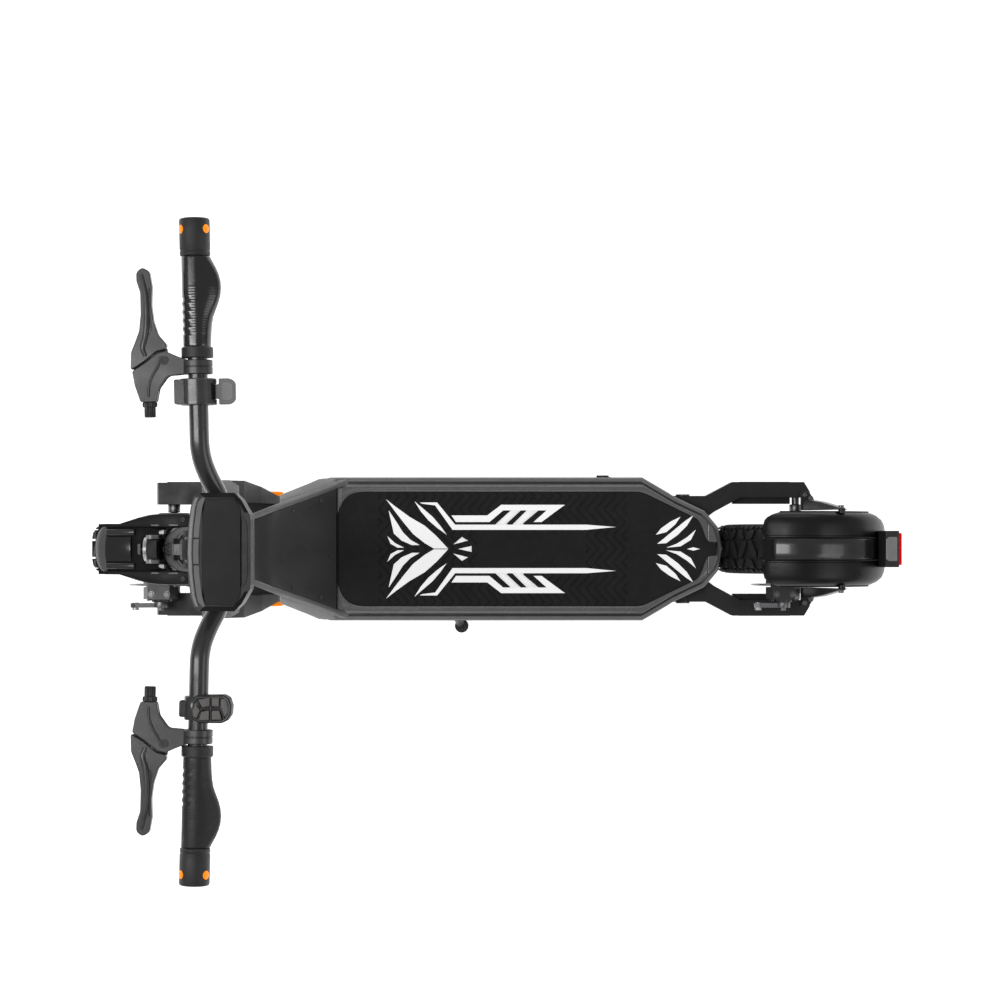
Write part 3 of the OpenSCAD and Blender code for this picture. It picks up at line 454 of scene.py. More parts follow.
# ---------------------------------------------------------------- tyres: carcass with moulded blocks
def tyre_r(y):
    y = abs(y)
    pts = [(0, 128.0), (15, 128.0), (25, 126.4), (33.5, 121), (38, 113), (38.5, 102)]
    for (a, ra), (b, rb) in zip(pts, pts[1:]):
        if y <= b:
            return ra + (rb - ra) * (y - a) / (b - a)
    return 102.0


def tyre_piece(name, node, cx, pitches=42):
    half = [(77, 24), (77, 30), (85, 30), (88, 34), (94, 37), (97.5, 38.3), (98, 37.6), (100, 37.6), (100.5, 38.4), (106, 38.2), (106.5, 37.5), (109, 37.4), (109.5, 38.0), (114, 35.6), (118, 31.5), (121.2, 24), (122.6, 14), (122.8, 0)]
    prof = [(r, -y) for r, y in half] + [(r, y) for r, y in reversed(half[:-1])]
    vs, fs = revolve(prof, 144, cx, 128)
    pitch = 2 * math.pi / pitches

    def block(rows, k, turn=1.0, flip=1, sink=7.0):
        """rows: (y, s0, s1) across the tread; s is the arc length in mm"""
        base = len(vs)
        m = len(rows)
        for y, s0, s1 in rows:
            for s in (s0, s1):
                for d in (0.0, sink):
                    a = (k * pitch + turn * s / 128.0)
                    r = tyre_r(y) - d - 0.02
                    vs.append((cx + r * math.cos(a), flip * y, 128 + r * math.sin(a)))
        for i in range(m - 1):
            p, q = base + 4 * i, base + 4 * (i + 1)
            fs.append((p, p + 2, q + 2, q))
            fs.append((p, q, q + 1, p + 1))
            fs.append((p + 2, p + 3, q + 3, q + 2))
            fs.append((p + 1, q + 1, q + 3, p + 3))
        p = base
        fs.append((p, p + 1, p + 3, p + 2))
        p = base + 4 * (m - 1)
        fs.append((p, p + 2, p + 3, p + 1))

    for k in range(pitches):
        f = 1 if k % 2 else -1
        block([(-12.5, -8.5, -1), (-5, -7.5, 3), (0, -5, 5), (5, -3, 7.5), (12.5, 1, 8.5)], k, f)
        for side in (1, -1):
            block([(15.5, -7.5, 1), (19, -7, 5), (25, -3, 6.5), (29.5, -1, 6.5)], k + 0.25, -f, side)
            block([(31, -8, -1.5), (33.5, -8, -1), (36.6, -7, 0.5)], k + 0.1, -f, side)
            block([(32, 3, 8), (35.2, 3.5, 8.5)], k + 0.1, -f, side)
    return put(name, vs, fs, "tyre_rubber", node, replaces=(node,), bevel=0.5, segs=1, angle=50)


tyre_piece("front_tyre_tread", "front_tyre", -502.0)
tyre_piece("rear_tyre_tread", "rear_tyre", 479.0)


# ---------------------------------------------------------------- outlines of the deck, drawn with soft corners
def at(table, x):
    if x <= table[0][0]:
        return table[0][1]
    for (a, va), (b, vb) in zip(table, table[1:]):
        if x <= b:
            return va + (vb - va) * (x - a) / (b - a)
    return table[-1][1]


MATW = [(-240, 51), (-238.5, 58), (-235, 66), (-229, 75), (-221, 82.5), (-211, 87), (-200, 88.2), (226, 88.2), (233, 87.2), (240, 84.2), (312, 49), (318, 45.5), (322, 40), (326.5, 29), (330, 19), (332.5, 13.5), (336, 10.8), (347, 10)]
OUTW = [(-292, 90), (-262, 108), (-250, 111), (233, 111), (283, 81.5), (330, 59), (352, 33), (357, 0)]


def zig(x, y):
    """distance of a point from the nearest groove of the moulded pattern"""
    if not -176 <= x <= 210 or (-24 <= x <= 146 and abs(y) < 31):
        return 9.0
    t = abs(y) % 41.0
    t = min(t, 41.0 - t) / 20.5
    off = 19.0 * (1 - t)
    u = (x - off + 400) % 14.0
    u = min(u, 14.0 - u)
    return u * 0.74


def mat_piece():
    xs = []
    x = -240.0
    while x < 347:
        xs.append(x)
        x += 1.5 if -180 < x < 214 else 2.5
    xs.append(347.0)
    ny = 128
    rings = []
    for x in xs:
        w = at(MATW, x)
        ring = []
        for j in range(ny + 1):
            y = -w + 2 * w * j / ny
            e = min(1.0, (w - abs(y)) / 2.0, (x + 240) / 2.0, (347 - x) / 2.0)
            z = 198.05 - 0.9 * (1 - math.sqrt(max(0.0, 1 - (1 - max(0.0, e)) ** 2)))
            d = zig(x, y)
            if d < 1.7:
                z -= 2.1 * (1 - d / 1.7)
            # fine border line a little inside the edge
            b = abs((w - abs(y)) - 5.0)
            if b < 0.8 and x > -232:
                z -= 0.5 * (1 - b / 0.8)
            if -26 <= x <= 148 and abs(y) <= 33:
                b = min(abs(abs(y) - 31.0), abs(x + 24), abs(x - 146))
                if b < 1.0:
                    z -= 0.7 * (1 - b)
            ring.append((x, y, z))
        ring.append((x, w, 194.2))
        ring.append((x, -w, 194.2))
        rings.append(ring)
    vs, fs = loft(rings)
    return put("deck_mat_grooved", vs, fs, "rubber_mat", "deck_mat", replaces=("deck_mat",))


mat_piece()

# white inlaid graphics: plain arrows, bars and slots; their material also glows a little, a painted glow
GFX = [
    # arrow arms at the front
    [(-164, 77), (-150, 66), (-128, 50), (-104, 36), (-86, 20), (-68, 0.6), (-90, 0.6), (-104, 9), (-122, 23), (-136, 40), (-150, 58)],
    [(-160, 60), (-148, 42), (-138, 26), (-126, 14), (-112, 6), (-124, 6), (-140, 13), (-152, 24)],
    [(-162, 20), (-150, 9), (-136, 2), (-146, 2), (-157, 8)],
    [(-120, 74), (-106, 62), (-92, 50), (-80, 36), (-70, 22), (-84, 32), (-98, 44), (-110, 58)],
    # bracket line
    [(-112, 72), (-85, 72), (-57, 37.6), (146, 37.6), (192, 34), (146, 29.6), (-61, 29.6), (-88, 67.5), (-108, 70)],
    # block that steps out and its slanted bars
    [(-62.8, 51.9), (-7.3, 51.9), (14.4, 68.4), (29.2, 68.4), (29.2, 59.7), (17.5, 59.7), (-3.9, 41.7), (-55.6, 41.7)],
    [(29.2, 68.4), (113.2, 68.4), (101.1, 59.7), (29.2, 59.7)],
    [(29.2, 59.7), (44.7, 59.7), (22.7, 39.2), (24.9, 37.7), (5.1, 37.7)],
    [(54.0, 59.7), (72.0, 59.7), (48.4, 39.9), (49.0, 37.7), (31.7, 37.7)],
    [(84.7, 59.7), (101.1, 59.7), (76.9, 41.7), (64.5, 41.7)],
    # short triangles behind the arrow
    [(-60, 7), (-46.4, 18.5), (-37.1, 12.9)],
    # rear fan
    [(256, 8), (266, 16), (284, 31), (300, 44), (312, 52), (302, 36), (288, 22), (270, 9)],
    [(254, 22), (262, 32), (276, 42), (292, 50), (284, 38), (270, 26)],
    [(270, 2), (286, 8), (302, 18), (316, 30), (308, 14), (292, 4)],
]
CENTRE = [
    [(-52.5, 0), (-31.5, 4.6), (-31.5, -4.6)],
    [(302, 0), (312, 2.6), (322, 0), (312, -2.6)],
]
gi = 0
for poly in GFX:
    for m in (False, True):
        gi += 1
        vs, fs = prism(poly, 197.0, 198.32)
        put("deck_print_%02d" % gi, vs, fs, "print_painted_glow", body="frame", mirror=m)
for poly in CENTRE:
    gi += 1
    vs, fs = prism(poly, 197.0, 198.32)
    put("deck_print_%02d" % gi, vs, fs, "print_painted_glow", body="frame")


# ---------------------------------------------------------------- deck edges
def offset_loop(pts, d):
    """moves a closed outline in by d, point by point"""
    n = len(pts)
    area2 = sum(pts[i][0] * pts[(i + 1) % n][1] - pts[(i + 1) % n][0] * pts[i][1] for i in range(n))
    s = 1 if area2 > 0 else -1
    out = []
    for i in range(n):
        p, q, r = Vector(pts[i - 1][:2]), Vector(pts[i][:2]), Vector(pts[(i + 1) % n][:2])
        u, v = (q - p), (r - q)
        if u.length < 1e-6:
            u = v
        if v.length < 1e-6:
            v = u
        u.normalize()
        v.normalize()
        a, b = Vector((-u.y, u.x)) * s, Vector((-v.y, v.x)) * s
        m = a + b
        m = m.normalized() if m.length > 1e-6 else a
        k = 1 / max(0.35, m.dot(a))
        out.append((q.x + m.x * d * k, q.y + m.y * d * k))
    return out


def sweep(loop, prof):
    """prof: (inset, z) closed section carried round a closed outline"""
    rings = [[(x, y, z) for x, y in offset_loop(loop, d)] for d, z in prof]
    n = len(rings[0])
    vs = [p for r in rings for p in r]
    fs = []
    for i in range(len(rings)):
        for j in range(n):
            a, b = i * n + j, i * n + (j + 1) % n
            c, d = ((i + 1) % len(rings)) * n + (j + 1) % n, ((i + 1) % len(rings)) * n + j
            fs.append((a, b, c, d))
    return vs, fs


EDGE = round_poly(sym([(-290, 89), (-262, 107.8), (-248, 110.9), (233, 110.9), (283, 81.4), (330, 58.9), (351.5, 33), (356.8, 0)]), [0, 8, 10, 26, 20, 16, 10, 0, 10, 16, 20, 26, 10, 8, 0][:15] if False else 9.0, 6)
# edge band in a lighter grey than the deck paint: a painted highlight of the light on the chamfer
vs, fs = sweep(EDGE, [(0.0, 160.0), (0.0, 190.0), (0.4, 192.4), (1.6, 194.2), (3.2, 194.9), (5.6, 194.9), (6.6, 194.4), (7.0, 193.2), (7.2, 191.0), (7.2, 160.0)])
vs = [(x, y, max(z, min(189.5, 160 + (x - 255) * 0.62)) if x > 255 else z) for x, y, z in vs]
put("deck_edge_band", vs, fs, "band_painted_highlight", "deck_rim")
vs, fs = sweep(EDGE, [(7.3, 190.0), (7.3, 192.15), (9.6, 192.15), (9.6, 190.0)])
put("deck_edge_groove", vs, fs, "satin_black", "deck_rim")
# lower skirt line along each side wall
vs, fs = sweep(offset_loop(EDGE, -0.02), [(0.0, 122.0), (0.0, 152.0), (0.02, 156.0), (1.4, 156.0), (1.4, 122.0)])
put("deck_skirt", vs, fs, "deck_paint", "deck_rim", bevel=0.4, segs=2)

# rounded bezel between the mat and the edge, in a lighter grey that is a painted highlight
for m in (False, True):
    rings = []
    for x in [-232, -228, -222, -215, -207, -199, -190] + list(range(-175, 226, 25)) + [228, 231, 234, 240, 250, 262, 272, 280, 284, 290, 298, 306, 312, 316, 320, 323, 326, 329, 331.5, 333.5]:
        wi, wo = at(MATW, x) + 0.35, at(OUTW, x) - 10.2
        if x > 283:
            wo = min(wo, at([(283, 71.0), (330, 48.4), (345, 34)], x))
        wo = max(wo, wi + 2)
        d = wo - wi
        rings.append([(x, wi, 194.3), (x, wi, 197.0), (x, wi + min(1.2, d * 0.12), 198.4), (x, wi + min(3.2, d * 0.3), 199.3), (x, wi + d * 0.5, 199.2), (x, wi + d * 0.72, 198.2), (x, wi + d * 0.88, 196.6), (x, wo, 194.6), (x, wo, 192.6), (x, wi + 0.5, 192.6)])
    vs, fs = loft(rings)
    put("deck_bezel_%s" % ("l" if m else "r"), vs, fs, "bezel_painted_highlight", "deck_rim", mirror=m)
# tail end of the bezel
vs, fs = prism(round_poly([(334, 11.4), (334, 42), (343, 31), (349, 14), (350, 0), (350, -14), (343, -31), (334, -42), (334, -11.4), (347.8, -10.6), (347.8, 10.6)], 3, 4), 192.6, 198.4)
put("deck_bezel_tail", vs, fs, "bezel_painted_highlight", "deck_rim", bevel=1.8, segs=3)

# strip along the top of each neck wall, in a lighter grey that is a painted highlight
for m in (False, True):
    rings = []
    for x, y, z in [(-223, 107.6, 193.4), (-232, 105.6, 199.5), (-240, 102.6, 208.3), (-262, 92.8, 237), (-281, 84.5, 264), (-300, 76.2, 292.4), (-314, 70.2, 312), (-328, 64.2, 332.2), (-344, 57.3, 346), (-358, 51.1, 359.6), (-384, 40.6, 367.6), (-408, 30.9, 374.6)]:
        w = 9.6 if x > -352 else 8.6
        rings.append([(x, y - w, z - 1.5), (x, y - w + 0.3, z + 0.9), (x, y - w + 1.4, z + 1.8), (x, y - w * 0.5, z + 2.0), (x, y - 1.6, z + 1.6), (x, y - 0.3, z + 0.4), (x, y, z - 1.5)])
    vs, fs = loft(rings)
    put("neck_wall_strip_%s" % ("l" if m else "r"), vs, fs, "band_painted_highlight", "neck_frame", mirror=m)

# glossy cover down the neck, softly crowned
cov = smooth_path([(-402.5, 21.8, 370.2), (-380, 33, 363.4), (-354, 43.6, 351.6), (-328, 54.0, 328.6), (-300, 66.2, 288.4), (-280, 75.4, 259.6), (-262, 83.6, 233.6), (-250, 89.4, 217.6), (-240.6, 94.2, 206.4)], 6)
rings = []
for p in cov:
    ring = []
    for j in range(33):
        t = -1 + 2 * j / 32
        z = p.z - 1.6 * abs(t) ** 4 + 0.6
        ring.append((p.x, p.y * t, z))
    ring += [(p.x, p.y, p.z - 6.5), (p.x, -p.y, p.z - 6.5)]
    rings.append(ring)
vs, fs = loft(rings)
put("neck_cover_panel", vs, fs, "cover", "neck_cover", replaces=("neck_cover",))
for i, (x, z) in enumerate(((-262, 236.2), (-300, 291.0))):
    for s_ in (1, -1):
        vs, fs = revolve([(0.01, 0), (3.4, 0), (3.4, 0.9), (2.8, 1.5), (1.6, 1.5), (1.5, 0.7), (0.01, 0.7)], 20)
        put("neck_cover_screw_%d%s" % (i, "r" if s_ > 0 else "l"), [(a + x, c + s_ * (at([(-300, 58), (-262, 74)], x)), b + z - 2.2) for a, b, c in vs], fs, "satin_black", "neck_cover")

# ---------------------------------------------------------------- handlebar and controls (bar coordinates for each half)
def on_bar(p):
    v = BAR @ Vector(p)
    return (v.x, v.y, v.z)


half = [(-299, 0, 1118), (-299, 16, 1118), (-299.6, 27, 1118.2), (-304, 46, 1122.6), (-310.5, 67, 1129.6), (-318.6, 85, 1138.2), (-324.6, 102, 1145), (-327.4, 118, 1148.9), on_bar((0, 134, 0)), on_bar((0, 150, 0))]
right = smooth_path(half, 6) + [on_bar((0, y, 0)) for y in (200, 260, 320, 371)]
path = [(p[0], -p[1], p[2]) for p in reversed([tuple(q) for q in right])] + [tuple(q) for q in right[1:]]
vs, fs = tube(path, 11.1, 40)
put("handlebar_tube", vs, fs, "bar_black", "handlebar", replaces=("handlebar",))


def ring_y(prof, n=64, x0=0.0, z0=0.0):
    vs, fs = revolve(prof, n, x0, z0)
    return vs, fs


WING = [(231, 0), (240, 0.4), (250, 1.0), (258, 1.9), (266, 3.4), (274, 6.4), (282, 9.6), (290, 11.8), (298, 12.7), (306, 12.3), (314, 10.4), (321, 7.6), (327, 4.6), (331, 2.4), (334, 1.2)]
for m in (False, True):
    tag = "l" if m else "r"
    # grip with palm rest and finger notches; the right grip gets a darker, glossier copy of the grip rubber, a painted
    # sheen for the light on that side
    rings = []
    ys = [221.2, 221.5, 223, 229.5, 231.2, 231.8, 232.4] + [233 + 1.0 * i for i in range(0, 101)] + [333.6, 334.0]
    for y in ys:
        ring = []
        for j in range(72):
            a = 2 * math.pi * j / 72
            c = math.cos(a)
            if y < 232:
                r = 17.5 if 222 < y < 231 else 16.6
                ring.append((r * math.cos(a), y, r * math.sin(a)))
                continue
            r = 15.8 + at([(231, -0.4), (234, 0.0), (333, 0.0), (334, -0.5)], y)
            if 243 < y < 290 and c < -0.2:
                t = 0.5 - 0.5 * math.cos(2 * math.pi * (y - 243) / 9.4)
                r -= 1.3 * (t ** 0.8) * min(1.0, (-c - 0.2) / 0.5)
                r += 0.5 * min(1.0, (-c - 0.2) / 0.5)
            if 246 < y < 300 and abs(math.sin(a)) > 0.3:
                # fine rows of raised dots over the top and underside
                q = math.sin((y - 246) * 2 * math.pi / 3.0) * math.cos(a * 36)
                r += 0.28 * max(0.0, q)
            w = at(WING, y) * max(0.0, c) ** 2.2
            ring.append((r * c + w, y, r * math.sin(a) - 0.10 * w))
        rings.append(ring)
    inner = [[(10.9 * math.cos(2 * math.pi * j / 72), y, 10.9 * math.sin(2 * math.pi * j / 72)) for j in range(72)] for y in (334.0, 221.2)]
    vs, fs = loft(rings + inner + [rings[0]], False, False)
    put("grip_%s" % tag, vs, fs, "grip_rubber" if m else "grip_gloss", "handle_grips", replaces=("handle_grips",), xf=BAR, mirror=m)
    # end lamp body
    prof = [(8, 334.5), (16.2, 334.5), (17.2, 335.4), (17.2, 339.2), (16.7, 339.9), (16.7, 341.0), (17.3, 341.8), (17.3, 374.2), (16.6, 376.2), (14.6, 377.0), (6.0, 377.0), (5.4, 375.6), (1.0, 375.6), (1.0, 340)]
    vs, fs = revolve(prof, 80)
    put("end_lamp_body_%s" % tag, vs, fs, "plastic", "bar_end_lamps", replaces=("bar_end_lamps",), xf=BAR, mirror=m)
    for fx in (-1, 1):
        rings = []
        for r, dx in ((5.2, 14.0), (5.2, 16.9), (4.7, 17.5), (3.4, 17.9), (1.6, 18.1)):
            rings.append([(fx * dx, 364 + r * math.cos(2 * math.pi * j / 28), 1.5 + r * math.sin(2 * math.pi * j / 28)) for j in range(28)])
        vs, fs = loft(rings)
        put("end_lamp_lens_%s_%s" % (tag, "f" if fx < 0 else "b"), vs, fs, "amber", "bar_end_lamps", xf=BAR @ Ry(-fx * 27), mirror=m)

    # brake perch: arm, clamp ring, cable adjuster, cap screw, stop tab
    arm = round_poly([(-8, 201.5), (-8, 216.5), (-22, 221.5), (-35.2, 227.6), (-44.2, 225.4), (-58.3, 214.7), (-73.2, 205.2), (-70.8, 190), (-64.6, 170.5), (-46.6, 170.5), (-43.4, 186), (-33, 199.6)], [0, 0, 6, 3, 3, 6, 2, 8, 3, 3, 10, 8], 6)
    vs, fs = prism(arm, -8, -4.1)
    put("perch_arm_low_%s" % tag, vs, fs, "alloy_dark", "brake_perches", replaces=("brake_perches",), bevel=1.2, xf=BAR, mirror=m)
    # lower lip that closes the view through the joint between lever and perch
    vs, fs = prism(round_poly([(-33, 222), (-35.2, 233), (-45, 231.5), (-59, 220), (-74, 210.5), (-72.8, 203), (-58, 205)], 1.5, 3), -8, -6.4)
    put("perch_lip_%s" % tag, vs, fs, "alloy_dark", "brake_perches", bevel=0.3, xf=BAR, mirror=m)
    vs, fs = revolve([(11.0, 219.4), (17.2, 219.4), (18.0, 220.2), (18.0, 230.6), (17.2, 231.4), (16.6, 231.4), (16.6, 219.6)], 64)
    put("grip_collar_%s" % tag, vs, fs, "plastic", "handle_grips", xf=BAR, mirror=m)
    vs, fs = prism(arm, 4.1, 8)
    put("perch_arm_top_%s" % tag, vs, fs, "alloy_dark", "brake_perches", replaces=("brake_perches",), bevel=0.8, xf=BAR, mirror=m)
    vs, fs = prism(round_poly([(-8, 201.5), (-8, 216.5), (-21.5, 221.0), (-21.5, 207.5)], [0, 0, 3, 3], 4), -4.3, 4.3)
    put("perch_web_%s" % tag, vs, fs, "alloy_dark", "brake_perches", xf=BAR, mirror=m)
    vs, fs = prism(round_poly([(-71.2, 191.5), (-65, 170.8), (-47, 170.8), (-44.6, 183), (-52, 194)], 3, 4), -4.3, 4.3)
    put("perch_nose_%s" % tag, vs, fs, "alloy_dark", "brake_perches", xf=BAR, mirror=m)
    vs, fs = revolve([(11.2, 201), (16.2, 201), (17, 201.8), (17, 208.4), (16.4, 208.9), (16.4, 209.7), (17, 210.2), (17, 216.2), (16.2, 217), (11.2, 217)], 72)
    put("perch_clamp_%s" % tag, vs, fs, "alloy_dark", "brake_perches", xf=BAR, mirror=m)
    # stiffening rib that follows the inner edge
    rib = smooth_path([(-40, 222, 8), (-43, 212, 8), (-49, 202, 8), (-54, 190, 8), (-55.5, 176, 8)], 6)
    vs, fs = tube([tuple(p) for p in rib], 1.5, 10)
    put("perch_rib_%s" % tag, vs, fs, "alloy_dark", "brake_perches", xf=BAR, mirror=m)
    # knurled adjuster and lock ring
    vs, fs = [], []
    rings = []
    for y in (170.4, 169.8, 165.4, 164.8):
        r0 = 8.0 if 165 < y < 170 else 7.2
        rings.append([(-55 + (r0 + (0.35 if j % 2 else -0.15)) * math.cos(2 * math.pi * j / 48), y, (r0 + (0.35 if j % 2 else -0.15)) * math.sin(2 * math.pi * j / 48)) for j in range(48)])
    vs, fs = loft(rings)
    put("adjuster_ring_%s" % tag, vs, fs, "satin_black", "brake_perches", xf=BAR, mirror=m)
    rings = []
    for y in (165.0, 164.6, 154.0, 153.2):
        r0 = 6.0 if 153.5 < y < 164.9 else 5.2
        rings.append([(-55 + (r0 + (0.45 if j % 3 else -0.3)) * math.cos(2 * math.pi * j / 42), y, (r0 + (0.45 if j % 3 else -0.3)) * math.sin(2 * math.pi * j / 42)) for j in range(42)])
    vs, fs = loft(rings)
    put("adjuster_%s" % tag, vs, fs, "satin_black", "brake_perches", xf=BAR, mirror=m)
    # cut-off switch on the clamp
    vs, fs = prism(round_poly([(-31, 216.4), (-22.4, 216.4), (-22.4, 222.4), (-31, 222.4)], 1.5, 3), -5, 6)
    put("cutoff_switch_%s" % tag, vs, fs, "satin_black", "brake_perches", bevel=0.6, xf=BAR, mirror=m)
    # pivot screw head: low, dark, with a recess
    vs, fs = revolve([(0.01, 8.2), (3.0, 8.2), (3.0, 9.4), (4.9, 9.4), (5.0, 9.0), (5.0, 7.4), (3.0, 7.4), (3.0, -8), (0.01, -8)], 40)
    vs = [(x - 37, z + 217, y) for x, y, z in vs]
    put("lever_screw_%s" % tag, vs, fs, "satin_black", "lever_pivot_screws", replaces=("lever_pivot_screws",), xf=BAR, mirror=m)

    # lever blade
    node = "left_brake_lever" if m else "right_brake_lever"
    blade = round_poly([(-75.5, 206.5), (-74.5, 227), (-69, 240), (-64.8, 251), (-62.5, 270), (-62.5, 294), (-66.5, 307), (-66.5, 317), (-59.5, 323), (-51.5, 318), (-49, 301), (-50, 280), (-48, 262), (-43, 246), (-33.5, 234.5), (-35.5, 229.8), (-45.8, 227.4), (-59.5, 216.4)],
                       [2, 14, 14, 14, 20, 16, 9, 7, 6, 7, 16, 20, 16, 10, 5, 2, 2, 2], 7)
    vs, fs = prism(blade, -6.0, 5.2)
    put("lever_blade_%s" % tag, vs, fs, "lever", node, replaces=(node,), bevel=1.5, segs=4, angle=40, xf=BAR, mirror=m)
    spine = smooth_path([(-58, 222, 4.4), (-61, 232, 4.6), (-57.5, 246, 4.8), (-55.5, 266, 5.0), (-56.2, 290, 4.9), (-58.6, 306, 4.4), (-60.2, 315, 3.6)], 8)
    vs, fs = tube([tuple(p) for p in spine], lambda i: 2.4 + 1.2 * math.sin(min(1, i / 40) * math.pi), 12)
    put("lever_ridge_%s" % tag, vs, fs, "lever", node, xf=BAR, mirror=m)
    # a gloss-black sheet on the blade: painted shade of the recess
    vs, fs = prism(round_poly([(-53.4, 244), (-49.4, 252), (-51.3, 268), (-51.8, 284), (-51.2, 299), (-52.6, 300), (-53.6, 284), (-53.4, 262)], 1.2, 3), 4.0, 5.5)
    put("lever_recess_shade_%s" % tag, vs, fs, "gloss_black", node, xf=BAR, mirror=m)
    vs, fs = revolve([(3.1, -3.6), (9, -3.6), (9.4, -3.2), (9.4, 3.2), (9, 3.6), (3.1, 3.6)], 40)
    vs = [(x - 37, z + 217, y) for x, y, z in vs]
    put("lever_eye_%s" % tag, vs, fs, "lever", node, xf=BAR, mirror=m)
    vs, fs = prism([(-45, 212), (-60, 214.5), (-66, 222), (-60, 232), (-44, 234), (-34, 224)], -3.4, 3.4)
    put("lever_tongue_%s" % tag, vs, fs, "lever", node, xf=BAR, mirror=m)

# throttle on the right
vs, fs = revolve([(11.2, 166), (19.8, 166), (21, 167), (21, 171.6), (20.2, 172.4), (14.5, 172.4), (14.5, 189.6), (20.2, 189.6), (21, 190.4), (21, 195), (19.8, 196), (11.2, 196)], 72)
put("throttle_drum", vs, fs, "throttle", "throttle_body", replaces=("throttle_body",), xf=BAR)
vs, fs = prism(round_poly([(-25.4, 167), (-25.4, 195), (2, 195), (2, 167)], [2, 2, 0, 0], 3), -9, 15.6)
put("throttle_case", vs, fs, "throttle", "throttle_body", bevel=2.2, segs=4, xf=BAR)
rings = []
for y in (166.2, 167.2, 194.8, 195.8):
    rr = 21.2 if 167 < y < 195 else 20.2
    rings.append([(rr * math.cos(math.radians(a)), y, rr * math.sin(math.radians(a))) for a in range(40, 141, 5)] + [(12.5 * math.cos(math.radians(a)), y, 12.5 * math.sin(math.radians(a))) for a in range(140, 39, -10)])
vs, fs = loft(rings)
put("throttle_top", vs, fs, "bar_black", "throttle_body", xf=BAR)
for yy in (172, 190):
    vs, fs = revolve([(0.01, -12.2), (3.2, -12.2), (3.2, -9.4), (2.6, -9.0), (0.01, -9.0)], 24)
    vs = [(x - 19, z + yy, y) for x, y, z in vs]
    put("throttle_screw_%d" % yy, vs, fs, "steel", "throttle_body", xf=BAR)
pad = round_poly([(19.4, 172.8), (23.6, 172.8), (23.6, 166.2), (36.5, 166.2), (42.6, 170.8), (42.6, 191.4), (36.5, 195.8), (23.6, 195.8), (23.6, 189.2), (19.4, 189.2)], [0, 0, 1.5, 9, 9, 9, 9, 1.5, 0, 0], 7)
vs, fs = prism(pad, -4.4, 4.0)
put("throttle_paddle_pad", vs, fs, "paddle", "throttle_paddle", replaces=("throttle_paddle",), bevel=1.6, segs=4, xf=BAR)
pad2 = round_poly([(26.4, 170.2), (37, 170.2), (40, 174), (40, 188), (37, 191.8), (26.4, 191.8)], 5.0, 8)
vs, fs = prism(pad2, 3.2, 4.8)
put("throttle_paddle_inset", vs, fs, "paddle_lite", "throttle_paddle", bevel=0.6, xf=BAR)
# the paddle root is near-black painted shade in the gap between paddle and case
rings = []
for y in (173.0, 189.0):
    rings.append([(20.4 * math.cos(math.radians(a)), y, 20.4 * math.sin(math.radians(a))) for a in range(-46, 47, 4)] + [(15.2 * math.cos(math.radians(a)), y, 15.2 * math.sin(math.radians(a))) for a in range(46, -47, -6)])
vs, fs = loft(rings)
put("throttle_paddle_root", vs, fs, "painted_shade_black", "throttle_paddle", xf=BAR)

# keypad on the left
KB = round_poly([(-2, 161.8), (30, 160.8), (36, 164), (39, 173), (38.5, 183), (34, 190), (28, 193), (2, 193.2), (-5, 189), (-7, 180), (-6, 169)], 5.0, 5)
vs, fs = prism(KB, -12, 13.2)
put("keypad_case", vs, fs, "plastic", "keypad_body", replaces=("keypad_body",), bevel=2.0, segs=4, xf=BAR, mirror=True)
KB2 = offset_loop(KB, 1.6)
vs, fs = sweep(KB2, [(0.0, 13.0), (0.2, 17.2), (0.7, 18.0), (1.5, 18.0), (1.9, 17.2), (1.9, 13.0)])
put("keypad_rim", vs, fs, "rib", "keypad_body", xf=BAR, mirror=True)
for i, seg2 in enumerate([[(16.2, 162.5), (16.2, 192.0)], [(26.9, 163), (27.2, 175), (31.5, 188.5)], [(-5.0, 176.4), (6.0, 176.8), (26.5, 176.2)], [(5.6, 176), (5.2, 180), (1.6, 190.4)]]):
    vs, fs = tube([(x, y, 16.6) for x, y in seg2], 1.1, 10)
    put("keypad_rib_%d" % i, vs, fs, "rib", "keypad_body", xf=BAR, mirror=True)
vs, fs = revolve([(11.2, 163), (15.5, 163), (16.2, 164), (16.2, 189), (15.5, 190), (11.2, 190)], 64)
put("keypad_clamp", vs, fs, "bar_black", "keypad_body", xf=BAR, mirror=True)
vs, fs = prism(round_poly([(-21, 168), (-21, 187), (0, 187), (0, 168)], 3, 4), -8.5, 8.5)
put("keypad_boss", vs, fs, "plastic", "keypad_body", bevel=1.8, xf=BAR, mirror=True)

# ---------------------------------------------------------------- display
def edge_x(y):
    return at([(0, -337.0), (25, -336.0), (50, -333.0), (62, -329.0), (66, -324.0)], abs(y))


ys = [-62, -58, -50, -40, -30, -20, -10, 0, 10, 20, 30, 40, 50, 58, 62]
frame_poly = [(edge_x(y) + 0.4, y) for y in ys] + [(edge_x(y) + 6.4, y) for y in reversed(ys)]
vs, fs = prism(frame_poly, 1180, 1187.8)
put("display_front_frame", vs, fs, "frame_grey", "display_housing", bevel=1.6, segs=3)
for k, (y0, y1) in enumerate([(-13.6, 14.6), (15.8, 61), (-61, -14.8)]):
    yy = [y0 + (y1 - y0) * t / 10 for t in range(11)]
    poly = [(edge_x(y) + 6.6 + (2.4 if abs(y) > 60 else 0), y) for y in yy] + [(edge_x(y) + 13.2, y) for y in reversed(yy)]
    vs, fs = prism(poly, 1184.2, 1187.9)
    put("display_light_%d" % k, vs, fs, "lightbar", "display_screen", replaces=("display_screen",), bevel=0.7)
face = round_poly(sym([(-320.5, 0), (-320, 40), (-316.5, 59.5), (-283, 60), (-276.8, 49), (-276.8, 0)]), 2.0, 4)
vs, fs = prism(face, 1184.2, 1187.7)
